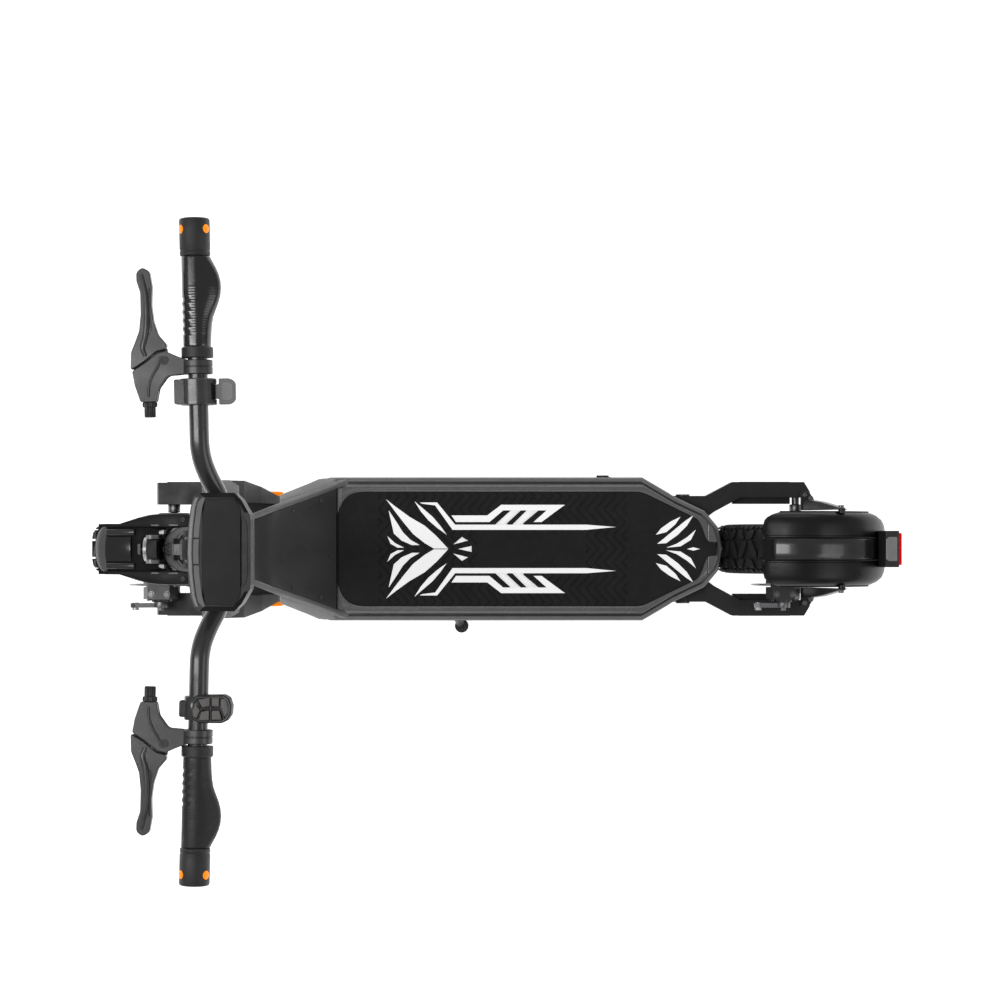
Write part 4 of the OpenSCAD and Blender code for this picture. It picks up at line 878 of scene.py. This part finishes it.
put("display_face", vs, fs, "screen", "display_screen", replaces=("display_screen",), bevel=0.8)
trim = round_poly(sym([(-275.9, 0), (-275.9, 41), (-271.8, 35), (-269.6, 29), (-269.6, 0)]), 1.5, 3)
vs, fs = prism(trim, 1187.0, 1187.95)
put("display_trim", vs, fs, "plastic", "display_screen", bevel=0.3)
# dark sides of the display, near-black painted shade along the face's edges
for m in (False, True):
    side = round_poly([(-324, 66.2), (-317, 60.6), (-284, 60.8), (-277, 51.4), (-272.6, 44), (-268.6, 44), (-276, 57.6), (-284, 66.2)], 2, 3)
    vs, fs = prism(side, 1168, 1187.4)
    put("display_side_%s" % ("l" if m else "r"), vs, fs, "painted_shade_black", "display_housing", bevel=0.8, mirror=m)
# clamp block and neck under the display
vs, fs = prism(round_poly(sym([(-334, 0), (-333, 30), (-328, 56), (-318, 62), (-286, 62), (-276, 52), (-270, 36), (-270, 0)]), 6, 5), 1140.5, 1147)
put("display_under_tray", vs, fs, "plastic", "display_housing", bevel=2.5, segs=4)

# ---------------------------------------------------------------- rear fender, stays, tail light
def arc_pos(cx, r, y, deg):
    return (cx + r * math.cos(math.radians(deg)), y, 128 + r * math.sin(math.radians(deg)))


FEND = [(0, 141.0), (15.6, 141.0), (16.8, 140.6), (17.4, 139.6), (18.2, 138.5), (20.0, 138.5), (20.8, 139.3), (23, 139.45), (38, 139.2), (44, 138.6), (48.5, 137.3), (52.2, 134.9), (54.9, 131.4), (56.6, 128), (57.4, 124.4), (56.9, 123.8), (55.4, 124.2), (54.4, 128), (52.4, 131.3), (49.5, 133.6), (45, 135.3), (38, 136.2), (0, 136.2)]
rings = []
for deg in [8, 8.6, 10, 13, 17, 21, 25, 30, 35] + list(range(40, 112, 4)) + [112, 115, 116.6, 117.6, 118]:
    w = 1.0 - 0.30 * max(0.0, (36 - deg) / 28.0) ** 2.0
    drop = 0.0
    if deg < 10:
        drop = (10 - deg) * 0.8
    if deg > 115:
        drop = (deg - 115) * 0.7
    ring = []
    out = [(y * w, r - drop) for y, r in FEND]
    def lim(y):
        return min(max(deg, 8 + 20 * max(0.0, (abs(y) - 18) / 32.0) ** 2.2), 118 - 11 * max(0.0, (abs(y) - 38) / 19.5) ** 2.6)

    for y, r in out:
        ring.append(arc_pos(479, r, y, lim(y)))
    for y, r in reversed(out[1:-1]):
        ring.append(arc_pos(479, r, -y, lim(y)))
    rings.append(ring)
vs, fs = loft(rings)
put("rear_fender_shell", vs, fs, "fender", "rear_fender", replaces=("rear_fender",))
# glossy centre strip, with a dark notch at its leading end that is near-black painted shade
rings = []
for deg in range(40, 112, 3):
    rings.append([arc_pos(479, 140.2, y, deg) for y in (-14.9, 14.9)] + [arc_pos(479, 141.5, 14.9, deg), arc_pos(479, 141.9, 14.2, deg), arc_pos(479, 142.0, 6, deg), arc_pos(479, 142.0, -6, deg), arc_pos(479, 141.9, -14.2, deg), arc_pos(479, 141.5, -14.9, deg)])
vs, fs = loft(rings)
put("rear_fender_strip", vs, fs, "strip", "rear_fender")
rings = []
for deg in (110.4, 112, 114, 116, 117.8):
    rings.append([arc_pos(479, 140.4, y, deg) for y in (-14.6, 14.6)] + [arc_pos(479, 141.3, 14.6, deg), arc_pos(479, 141.3, -14.6, deg)])
vs, fs = loft(rings)
put("rear_fender_notch", vs, fs, "painted_shade_black", "rear_fender")
# raised lip along both lower edges
for s in (1, -1):
    rings = []
    for deg in range(36, 109, 3):
        rings.append([arc_pos(479, r, s * y, deg) for y, r in ((57.2, 124.3), (58.2, 125.2), (58.2, 127.6), (57.2, 128.4), (56.2, 127.6))])
    vs, fs = loft(rings)
    put("rear_fender_lip_%s" % ("r" if s > 0 else "l"), vs, fs, "fender", "rear_fender")
    rings = []
    for x0_, x1_, z0_, ya, yb in ((486, 499, 151, 60.6, 77), (495.5, 508, 172, 60.6, 76), (508, 519, 200, 60.6, 73), (520, 530, 225, 60.6, 68), (529, 539, 246, 60.6, 64), (533, 540, 251, 60.6, 63)):
        rings.append([(x0_, s * ya, z0_ + 2), (x0_, s * yb, z0_ + 2), (x1_, s * yb, z0_ - 2), (x1_, s * ya, z0_ - 2)])
    vs, fs = loft(rings)
    put("rear_fender_stay_%s" % ("r" if s > 0 else "l"), vs, fs, "stay", "rear_fender", bevel=1.6, segs=3)
    web = round_poly([(484.5, 151), (500.5, 151), (544, 243), (541, 252), (531, 252), (526.5, 246)], [1, 1, 3, 4, 4, 2], 4)
    vs, fs = prism_xz(web, 60.4 if s > 0 else -61.6, 61.6 if s > 0 else -60.4)
    put("rear_fender_web_%s" % ("r" if s > 0 else "l"), vs, fs, "satin_black", "rear_fender", bevel=0.6, segs=2)
    foot = round_poly([(484, 60.6), (484, 91), (497, 90), (506, 76), (506, 60.6)], 2.5, 4)
    foot = [(x, s * y) for x, y in foot]
    vs, fs = prism(foot, 149.5, 154.4)
    put("rear_fender_foot_%s" % ("r" if s > 0 else "l"), vs, fs, "satin_black", "rear_fender", bevel=1.0)
    for bx_, by_ in ((490, 84.5), (499.5, 79)):
        vs, fs = revolve([(0.01, 153), (4.4, 153), (4.4, 156.2), (3.8, 157.4), (2.2, 157.6), (2.0, 156.4), (0.01, 156.4)], 6 if bx_ == 490 else 24)
        vs = [(x + bx_, s * (z + by_), y) for x, y, z in vs]
        put("rear_fender_bolt_%s_%d" % ("r" if s > 0 else "l", by_), vs, fs, "steel", "rear_fender")
    vs, fs = revolve([(0.01, 54), (5.6, 54), (5.6, 60.5), (0.01, 60.5)], 24, 535.5, 241)
    put("rear_fender_boss_%s" % ("r" if s > 0 else "l"), [(x, s * y, z) for x, y, z in vs], fs, "satin_black", "rear_fender")
    vs, fs = revolve([(0.01, 61), (4.2, 61), (4.2, 66.6), (3.4, 67.4), (2, 67.4), (1.9, 66.4), (0.01, 66.4)], 24, 534.5, 241.5)
    put("rear_fender_screw_%s" % ("r" if s > 0 else "l"), [(x, s * y, z) for x, y, z in vs], fs, "steel", "rear_fender")

tl = round_poly([(597, 208), (603.6, 234), (623.4, 234), (625.2, 231), (625.2, 187), (614, 169.5), (606.6, 183)], [3, 4, 3, 2, 2, 4, 6], 5)
vs, fs = prism_xz(tl, -28, 28)
put("tail_light_body", vs, fs, "plastic", "tail_light", replaces=("tail_light",), bevel=2.2, segs=4)
vs, fs = prism(round_poly(sym([(604.5, 0), (604.5, 15), (609, 18.6), (621.5, 18.6), (621.5, 0)]), 2, 4), 232.6, 234.9)
put("tail_light_top", vs, fs, "cheek", "tail_light", bevel=0.8)
lens = round_poly([(624.8, 189), (628.6, 190.4), (629.7, 194), (629.7, 227), (628.8, 231), (624.8, 232)], [0, 2, 2, 2, 2, 0], 4)
vs, fs = prism_xz(lens, -24.6, 24.6)
put("tail_light_lens", vs, fs, "red", "tail_light", bevel=1.0, segs=3)
for i in range(7):
    y0 = -21 + i * 6.4
    vs, fs = prism_xz([(624.6, 193), (629.9, 194), (629.9, 227), (624.6, 228)], y0, y0 + 0.7)
    put("tail_light_rib_%d" % i, vs, fs, "red", "tail_light")

# ---------------------------------------------------------------- front fender, cowl, headlight, head cover
def arc_slab(name, cx, a0, a1, y0, y1, r0, r1, mat, node, bevel=0.6, step=1.5, replaces=(), crown=0.0, segs=3):
    rings = []
    n = max(2, int((a1 - a0) / step))
    for i in range(n + 1):
        deg = a0 + (a1 - a0) * i / n
        ym = (y0 + y1) / 2
        h = (y1 - y0) / 2
        top = [(ym + h * t, r1 - crown * t * t) for t in (-1, -0.75, -0.5, -0.25, 0, 0.25, 0.5, 0.75, 1)]
        rings.append([arc_pos(cx, r, y, deg) for y, r in top] + [arc_pos(cx, r0, y1, deg), arc_pos(cx, r0, y0, deg)])
    vs, fs = loft(rings)
    return put(name, vs, fs, mat, node, bevel=bevel, replaces=replaces, segs=segs, angle=35)


FX = -502.0
# the fender shell is near-black painted shade: the hollow seen behind the centre panel
arc_slab("front_fender_shell", FX, 89, 126.2, -38.3, 38.3, 160.2, 164.6, "painted_shade_black", "front_fender", 1.0, replaces=("front_fender",), crown=0.8)
rings = []
for j in range(25):
    t = -1 + 2 * j / 24
    w = 35.4
    a1 = 120.6 + 6.2 * math.sqrt(max(0.0, 1 - abs(t) ** 2.6)) + 0.2
    a0 = 119.6
    h = 169.0 - 3.4 * t * t
    rings.append([arc_pos(FX, 161.5, w * t, a0), arc_pos(FX, h - 1.2, w * t, a0), arc_pos(FX, h, w * t, a0 + 0.5), arc_pos(FX, h, w * t, (a0 + a1) / 2), arc_pos(FX, h - 0.3, w * t, a1 - 0.9), arc_pos(FX, h - 1.6, w * t, a1 - 0.2), arc_pos(FX, 163.5, w * t, a1), arc_pos(FX, 161.5, w * t, a1 - 0.4)])
vs, fs = loft(rings)
put("front_fender_nose", vs, fs, "frame_grey", "front_fender")
arc_slab("front_fender_centre", FX, 104.6, 120.2, -19.4, 19.4, 163.5, 168.9, "gloss_dark", "front_fender", 1.2, crown=2.2)
for s in (1, -1):
    t = "r" if s > 0 else "l"
    arc_slab("front_fender_rail_" + t, FX, 102.6, 119.6, min(20.6 * s, 30.4 * s), max(20.6 * s, 30.4 * s), 163.0, 169.3, "gloss_mid", "front_fender", 2.0, crown=1.4)
    arc_slab("front_fender_edge_" + t, FX, 90, 121, min(33.2 * s, 38.4 * s), max(33.2 * s, 38.4 * s), 159.8, 166.8, "fender", "front_fender", 1.2)
    rings = []
    for x, ya, yb, za, zb in ((-569, 33.6, 36.5, 279.5, 283.0), (-560, 33.4, 39.4, 281.4, 285.4), (-548, 33.2, 43.0, 284.4, 289.4), (-533, 32.8, 47.6, 288.6, 294.6), (-515, 32.2, 51.8, 293.4, 301.0), (-500, 31.9, 53.2, 297.4, 306.4), (-487, 31.8, 53.7, 299.5, 309.4), (-470, 31.9, 53.9, 299.7, 311.4), (-457, 32.1, 53.4, 299.8, 311.4), (-451.5, 32.4, 52.2, 300.0, 310.2)):
        b = min(3.2, (zb - za) * 0.45)
        q = [(ya, za), (ya, zb - b), (ya + b * 0.3, zb - b * 0.3), (ya + b, zb), (ya + (yb - ya) * 0.5, zb + 0.1), (yb - b, zb - 0.5), (yb - b * 0.3, zb - b * 0.55), (yb, zb - b * 1.4), (yb, za)]
        rings.append([(x, s * y, z) for y, z in q])
    vs, fs = loft(rings)
    put("front_cowl_" + t, vs, fs, "cowl", "front_fender", bevel=0.6, segs=2, angle=50)
    vs, fs = prism(round_poly([(-512, 35), (-470, 35), (-470, 37.2), (-512, 37.2)], 0.6, 2), 299, 312.8)
    put("front_cowl_rib_" + t, [(x, s * y, z - max(0.0, (-487 - x)) * 0.36) for x, y, z in vs], fs, "frame_grey", "front_fender", bevel=0.4)
    vs, fs = revolve([(0.01, 310.5), (4.2, 310.5), (4.2, 312.4), (3.5, 313.4), (1.8, 313.4), (1.8, 312.5), (0.01, 312.5)], 24)
    put("front_cowl_screw_" + t, [(x - 463, s * (z + 44), y) for x, y, z in vs], fs, "satin_black", "front_fender")
# the cowl bridge is near-black painted shade around the headlight
vs, fs = prism(round_poly(sym([(-526, 0), (-526, 22), (-516, 31), (-488, 31), (-488, 0)]), 3, 4), 296.5, 303.6)
put("front_cowl_bridge", vs, fs, "painted_shade_black", "front_fender", bevel=1.2)
vs, fs = prism(round_poly([(-531.6, -8), (-531.6, 8), (-527.4, 8), (-527.4, -8)], 1.2, 3), 296, 306.5)
put("front_marker_bar", vs, fs, "lightbar", "front_fender", bevel=0.8)
rings = [[(-522 + r * math.cos(2 * math.pi * j / 24), r * math.sin(2 * math.pi * j / 24), z) for j in range(24)] for r, z in ((3.4, 302), (3.4, 308), (3.0, 309.6), (2.0, 310.6), (0.6, 311))]
vs, fs = loft(rings)
put("front_marker_stud", vs, fs, "frame_grey", "front_fender")

# headlight: shell with two bright cheeks, a dark lid and a bezel ring
vs, fs = prism_xz(round_poly([(-516.4, 304.2), (-491, 304.2), (-495, 312), (-495, 342), (-505, 350.6), (-512.4, 345.5)], [2, 2, 2, 4, 6, 5], 5), -15.6, 15.6)
put("headlight_body", vs, fs, "satin_black", "headlight_housing", replaces=("headlight_housing",), bevel=1.2)
for s in (1, -1):
    t = "r" if s > 0 else "l"
    vs, fs = prism_xz(round_poly([(-517, 304.2), (-490.4, 304.2), (-494.6, 312), (-494.6, 344), (-506, 352), (-513, 346)], [2, 2, 2, 4, 6, 5], 5), min(15.4 * s, 21 * s), max(15.4 * s, 21 * s))
    put("headlight_cheek_" + t, vs, fs, "cheek", "headlight_housing", bevel=1.6, segs=4)
    vs, fs = prism(round_poly([(-496, 22), (-487.5, 22), (-487.5, 29.5), (-496, 27)], 2, 4), 312, 333)
    put("head_clip_" + t, [(x, s * y, z) for x, y, z in vs], fs, "cheek", "head_cover", bevel=1.2)
vs, fs = prism(round_poly(sym([(-512.5, 0), (-511.6, 10.5), (-508, 13.8), (-497, 14.2), (-495.2, 12), (-495.2, 0)]), 2.5, 4), 343, 352.6)
put("headlight_lid", vs, fs, "cowl", "headlight_housing", bevel=1.6, segs=4)


def revolve_x(prof, n, cy_, cz_):
    """prof: (r, x) loop turned about the X direction"""
    vs, fs = revolve(prof, n)
    return [(y, x + cy_, z + cz_) for x, y, z in vs], fs


vs, fs = revolve_x([(15.1, -517.6), (17.0, -518.2), (18.2, -517.2), (18.2, -512), (15.1, -512)], 64, 0, 326)
put("headlight_bezel", vs, fs, "alu", "headlight_housing", bevel=0.3, segs=2)
vs, fs = revolve_x([(0.01, -512.4), (6, -511.0), (12, -506.5), (14.2, -501.5), (14.8, -501.5), (14.8, -499), (0.01, -499)], 64, 0, 326)
put("headlight_reflector", vs, fs, "alu", "headlight_lens")
vs, fs = revolve_x([(0.01, -516.2), (8, -515.8), (12.5, -514.6), (14.9, -512.8), (14.9, -511.6), (12.5, -513.2), (8, -514.4), (0.01, -514.8)], 64, 0, 326)
put("headlight_glass", vs, fs, "lens", "headlight_lens", replaces=("headlight_lens",))

# head cover: rounded dome leaning with the steering head
rings = []
for h, r, fx in ((-146.5, 31.8, 9.4), (-145, 33.0, 10), (-130, 33.4, 10), (-110, 33.2, 9.8), (-95, 32.6, 9.0), (-84, 31.8, 7.6), (-76, 31.0, 6.0), (-70, 30.4, 4.4), (-65, 30.0, 3.0), (-61.5, 29.8, 2.0)):
    ring = []
    for a in range(90, 271, 6):
        ring.append((-fx + r * math.cos(math.radians(a)) * (1.0 if fx else 1), r * math.sin(math.radians(a)), h))
    ring = [(-6.2, r, h)] + ring + [(-6.2, -r, h)]
    q = 29.5
    ring += [(-6.2, -math.sqrt(q * q - 6.2 ** 2), h)] + [(q * math.cos(math.radians(a)), q * math.sin(math.radians(a)), h) for a in range(252, 107, -6)] + [(-6.2, math.sqrt(q * q - 6.2 ** 2), h)]
    rings.append(ring)
vs, fs = loft(rings)
put("head_cover_shell", vs, fs, "dome", "head_cover", replaces=("head_cover",), xf=STEER)
# rounded shoulders of the folding base, left and right of the latch slot
for s in (1, -1):
    rings = []
    for a in range(96, 166, 3):
        ca, sa = math.cos(math.radians(a)), s * math.sin(math.radians(a))
        rings.append([(r * ca, r * sa, h) for r, h in ((28.5, -54), (30.9, -53), (31.0, -26), (30.6, -17), (29.4, -9), (27.4, -3.6), (24.4, 0.2), (21.4, 2.4), (20.2, 2.8), (20.2, -7), (28.5, -8))])
    vs, fs = loft(rings)
    put("fold_base_shoulder_%s" % ("r" if s > 0 else "l"), vs, fs, "dome", "fold_base", xf=STEER)
for s in (1, -1):
    vs, fs = prism([(-468, 30.1), (-452, 30.1), (-452, 32.9), (-468, 32.9)], 299.1, 313)
    put("head_cover_foot_%s" % ("r" if s > 0 else "l"), [(x, s * y, z) for x, y, z in vs], fs, "dome", "head_cover", bevel=0.5)
vs, fs = revolve_x([(0.01, -44.0), (3.2, -44.0), (3.2, -43.0), (2.6, -42.6), (2.6, -41), (0.01, -41)], 32, 0, -112)
put("head_cover_screw", vs, fs, "satin_black", "head_cover", xf=STEER)
for i, y in enumerate((-9, -3, 3, 9)):
    vs, fs = prism(round_poly([(-41.6, y - 1), (-41.6, y + 1), (-38, y + 1), (-38, y - 1)], 0.5, 2), -92, -78)
    put("head_cover_slot_%d" % i, vs, fs, "gloss_black", "head_cover", xf=STEER, bevel=0.3)


def revolve_z(prof, n=64):
    """prof: (r, z) loop turned about Z"""
    vs, fs = revolve(prof, n)
    return [(x, z, y) for x, y, z in vs], fs


for nm, za, zb in (("low", -147.5, -141), ("high", -63, -57.5)):
    vs, fs = revolve_z([(22.2, za), (28.2, za), (28.8, za + 1), (28.8, zb - 1), (28.2, zb), (22.2, zb)])
    put("headset_cup_" + nm, vs, fs, "alloy_dark", "neck_frame", xf=STEER)

# ---------------------------------------------------------------- suspension and brake details
def hexbolt(name, node, x, y, z, r=5.0, h=4.0, up=(0, 0, 1), mat="steel"):
    rings = []
    for rr, hh, sides in ((r * 1.25, 0.0, 0), (r * 1.25, 1.0, 0), (r, 1.0, 1), (r, h - 0.8, 1), (r * 0.86, h, 1)):
        ring = []
        for j in range(24):
            a = 2 * math.pi * j / 24
            q = rr if not sides else rr * math.cos(math.pi / 6) / math.cos((a % (math.pi / 3)) - math.pi / 6)
            ring.append((q * math.cos(a), q * math.sin(a), hh))
        rings.append(ring)
    vs, fs = loft(rings)
    qd = Vector((0, 0, 1)).rotation_difference(Vector(up)).to_matrix().to_4x4()
    return put(name, vs, fs, mat, node, xf=T(x, y, z) @ qd)


for pre, x, zb in (("front", -514, 150), ("rear", 452, 150)):
    nd = pre + "_caliper"
    for i in range(5):
        vs, fs = prism_xz(round_poly([(x - 20 + i * 9, 172), (x - 16.5 + i * 9, 172), (x - 16.5 + i * 9, 200), (x - 20 + i * 9, 200)], 1, 3), -80.4, -77.5)
        if abs(x - 18 + i * 9 - x) > 12 or True:
            put("%s_caliper_fin_%d" % (pre, i), vs, fs, "alloy_dark", nd, bevel=0.5)
    for dx in (-12, 12):
        hexbolt("%s_caliper_bolt_%s" % (pre, "a" if dx < 0 else "b"), nd, x + dx, -70, 207.6, 3.8, 3.6)
        hexbolt("%s_caliper_mount_%s" % (pre, "a" if dx < 0 else "b"), nd, x + dx * 0.8, -79.4, 158, 3.4, 3.0, (0, -1, 0))
    vs, fs = prism_xz(round_poly([(x - 22, 176), (x + 20, 176), (x + 22, 190), (x + 12, 205), (x - 14, 205), (x - 23, 190)], 4, 4), -52.6, -46)
    put("%s_caliper_inner" % pre, vs, fs, "cheek", nd, bevel=1.6)
    vs, fs = revolve([(0.01, -95.4), (3.4, -95.4), (4.2, -94.6), (4.2, -91), (0.01, -91)], 24, x, 190)
    put("%s_brake_arm_nut" % pre, vs, fs, "steel", pre + "_brake_arm")
    vs, fs = revolve([(3.0, -95), (5.2, -95), (5.2, -83.2), (3.0, -83.2)], 24, x - 39, 191)
    put("%s_cable_clamp" % pre, vs, fs, "alu", pre + "_brake_arm")
for s in (1, -1):
    t = "r" if s > 0 else "l"
    # stiffening ribs on the outer faces of the arms
    vs, fs = prism_xz(round_poly([(-512, 117), (-430, 119), (-414, 126), (-414, 148), (-440, 143.5), (-512, 141)], 5, 4), 103.6, 105.4)
    put("front_arm_panel_" + t, [(x, s * y, z) for x, y, z in vs], fs, "arm_black", "front_swing_arm", bevel=0.8)
    vs, fs = prism_xz(round_poly([(388, 116), (470, 116), (470, 141), (388, 142)], 5, 4), 104.4, 105.6)
    put("rear_arm_panel_" + t, [(x, s * y, z) for x, y, z in vs], fs, "arm_black", "rear_swing_arm", bevel=0.6)
    # washers under the axle nuts
    for nd, x in (("front_axle", -502), ("rear_axle", 479)):
        vs, fs = revolve([(6.1, 93.9), (11.6, 93.9), (11.6, 95.4), (6.1, 95.4)], 48, x, 128)
        put("%s_washer_%s" % (nd, t), [(x_, s * y, z) for x_, y, z in vs], fs, "alu", nd)
    # reflector bezels, in the glowing amber: a painted glow on parts that are no lamps
    vs, fs = revolve([(22.6, 82.6), (24.0, 82.6), (24.0, 88.4), (22.6, 89.0)], 64, -351, 155)
    put("reflector_ring_" + t, [(x_, s * y, z) for x_, y, z in vs], fs, "amber", "side_reflectors")

# stem: hinge bosses, top clamp screws, cable grommet
for s in (1, -1):
    t = "r" if s > 0 else "l"
    vs, fs = revolve([(0.01, 30.2), (4.0, 30.2), (4.6, 31.0), (9.6, 31.0), (10.2, 30.4), (10.2, 27.4), (0.01, 27.4)], 48, 0, 18)
    put("fold_pin_cap_" + t, [(x, s * y, z) for x, y, z in vs], fs, "alloy_dark", "fold_pin", xf=STEER)
    for i, (x, z) in enumerate(((-22, 672), (10, 672))):
        vs, fs = revolve_z([(0.01, 0), (4.0, 0), (4.0, 3.2), (3.4, 4.0), (2.1, 4.0), (2.0, 2.4), (0.01, 2.4)], 24)
        put("stem_clamp_screw_%s%d" % (t, i), [(x_ + x * 0.78, y + s * 17, z_ + 695) for x_, y, z_ in vs], fs, "steel", "stem_tube", xf=STEER)
vs, fs = revolve_x([(0.01, -22.2), (6, -22.2), (7, -21.4), (7, -19), (0.01, -19)], 32, 0, 610)
put("stem_grommet", vs, fs, "grip_rubber", "stem_tube", xf=STEER)
for z in (70, 560):
    vs, fs = prism(round_poly([(-20.4, -18.9), (20.4, -18.9), (20.4, 18.9), (-20.4, 18.9)], 5, 5), z, z + 6)
    put("stem_band_%d" % z, vs, fs, "alloy_dark", "stem_tube", xf=STEER, bevel=0.8)

# deck underside and sides
vs, fs = prism(round_poly([(-186, -52), (232, -52), (232, 52), (-186, 52)], 14, 6), 116.4, 118.3)
put("deck_under_cover", vs, fs, "satin_black", "deck_tub", bevel=0.8)
for i in range(9):
    vs, fs = prism(round_poly([(-168 + i * 44, -40), (-162 + i * 44, -40), (-162 + i * 44, 40), (-168 + i * 44, 40)], 2.5, 4), 115.4, 117.2)
    put("deck_under_rib_%d" % i, vs, fs, "satin_black", "deck_tub", bevel=0.5)
vs, fs = revolve([(8.3, 110.8), (11.0, 110.8), (11.6, 111.6), (11.0, 112.6), (8.3, 112.6)], 48, 175, 156)
vs, fs = [(x, y, z) for x, y, z in vs], fs
put("charge_port_ring", vs, fs, "alloy_dark", "deck_tub")
# kickstand foot pad
vs, fs = prism(round_poly([(-60.5, -126), (-58, -118.5), (-50, -115.5), (-42, -118.5), (-39.5, -126), (-42, -133.4), (-50, -136.4), (-58, -133.4)], 2.5, 3), 0.05, 5.0)
put("kickstand_pad", vs, fs, "grip_rubber", "kickstand", bevel=1.0)
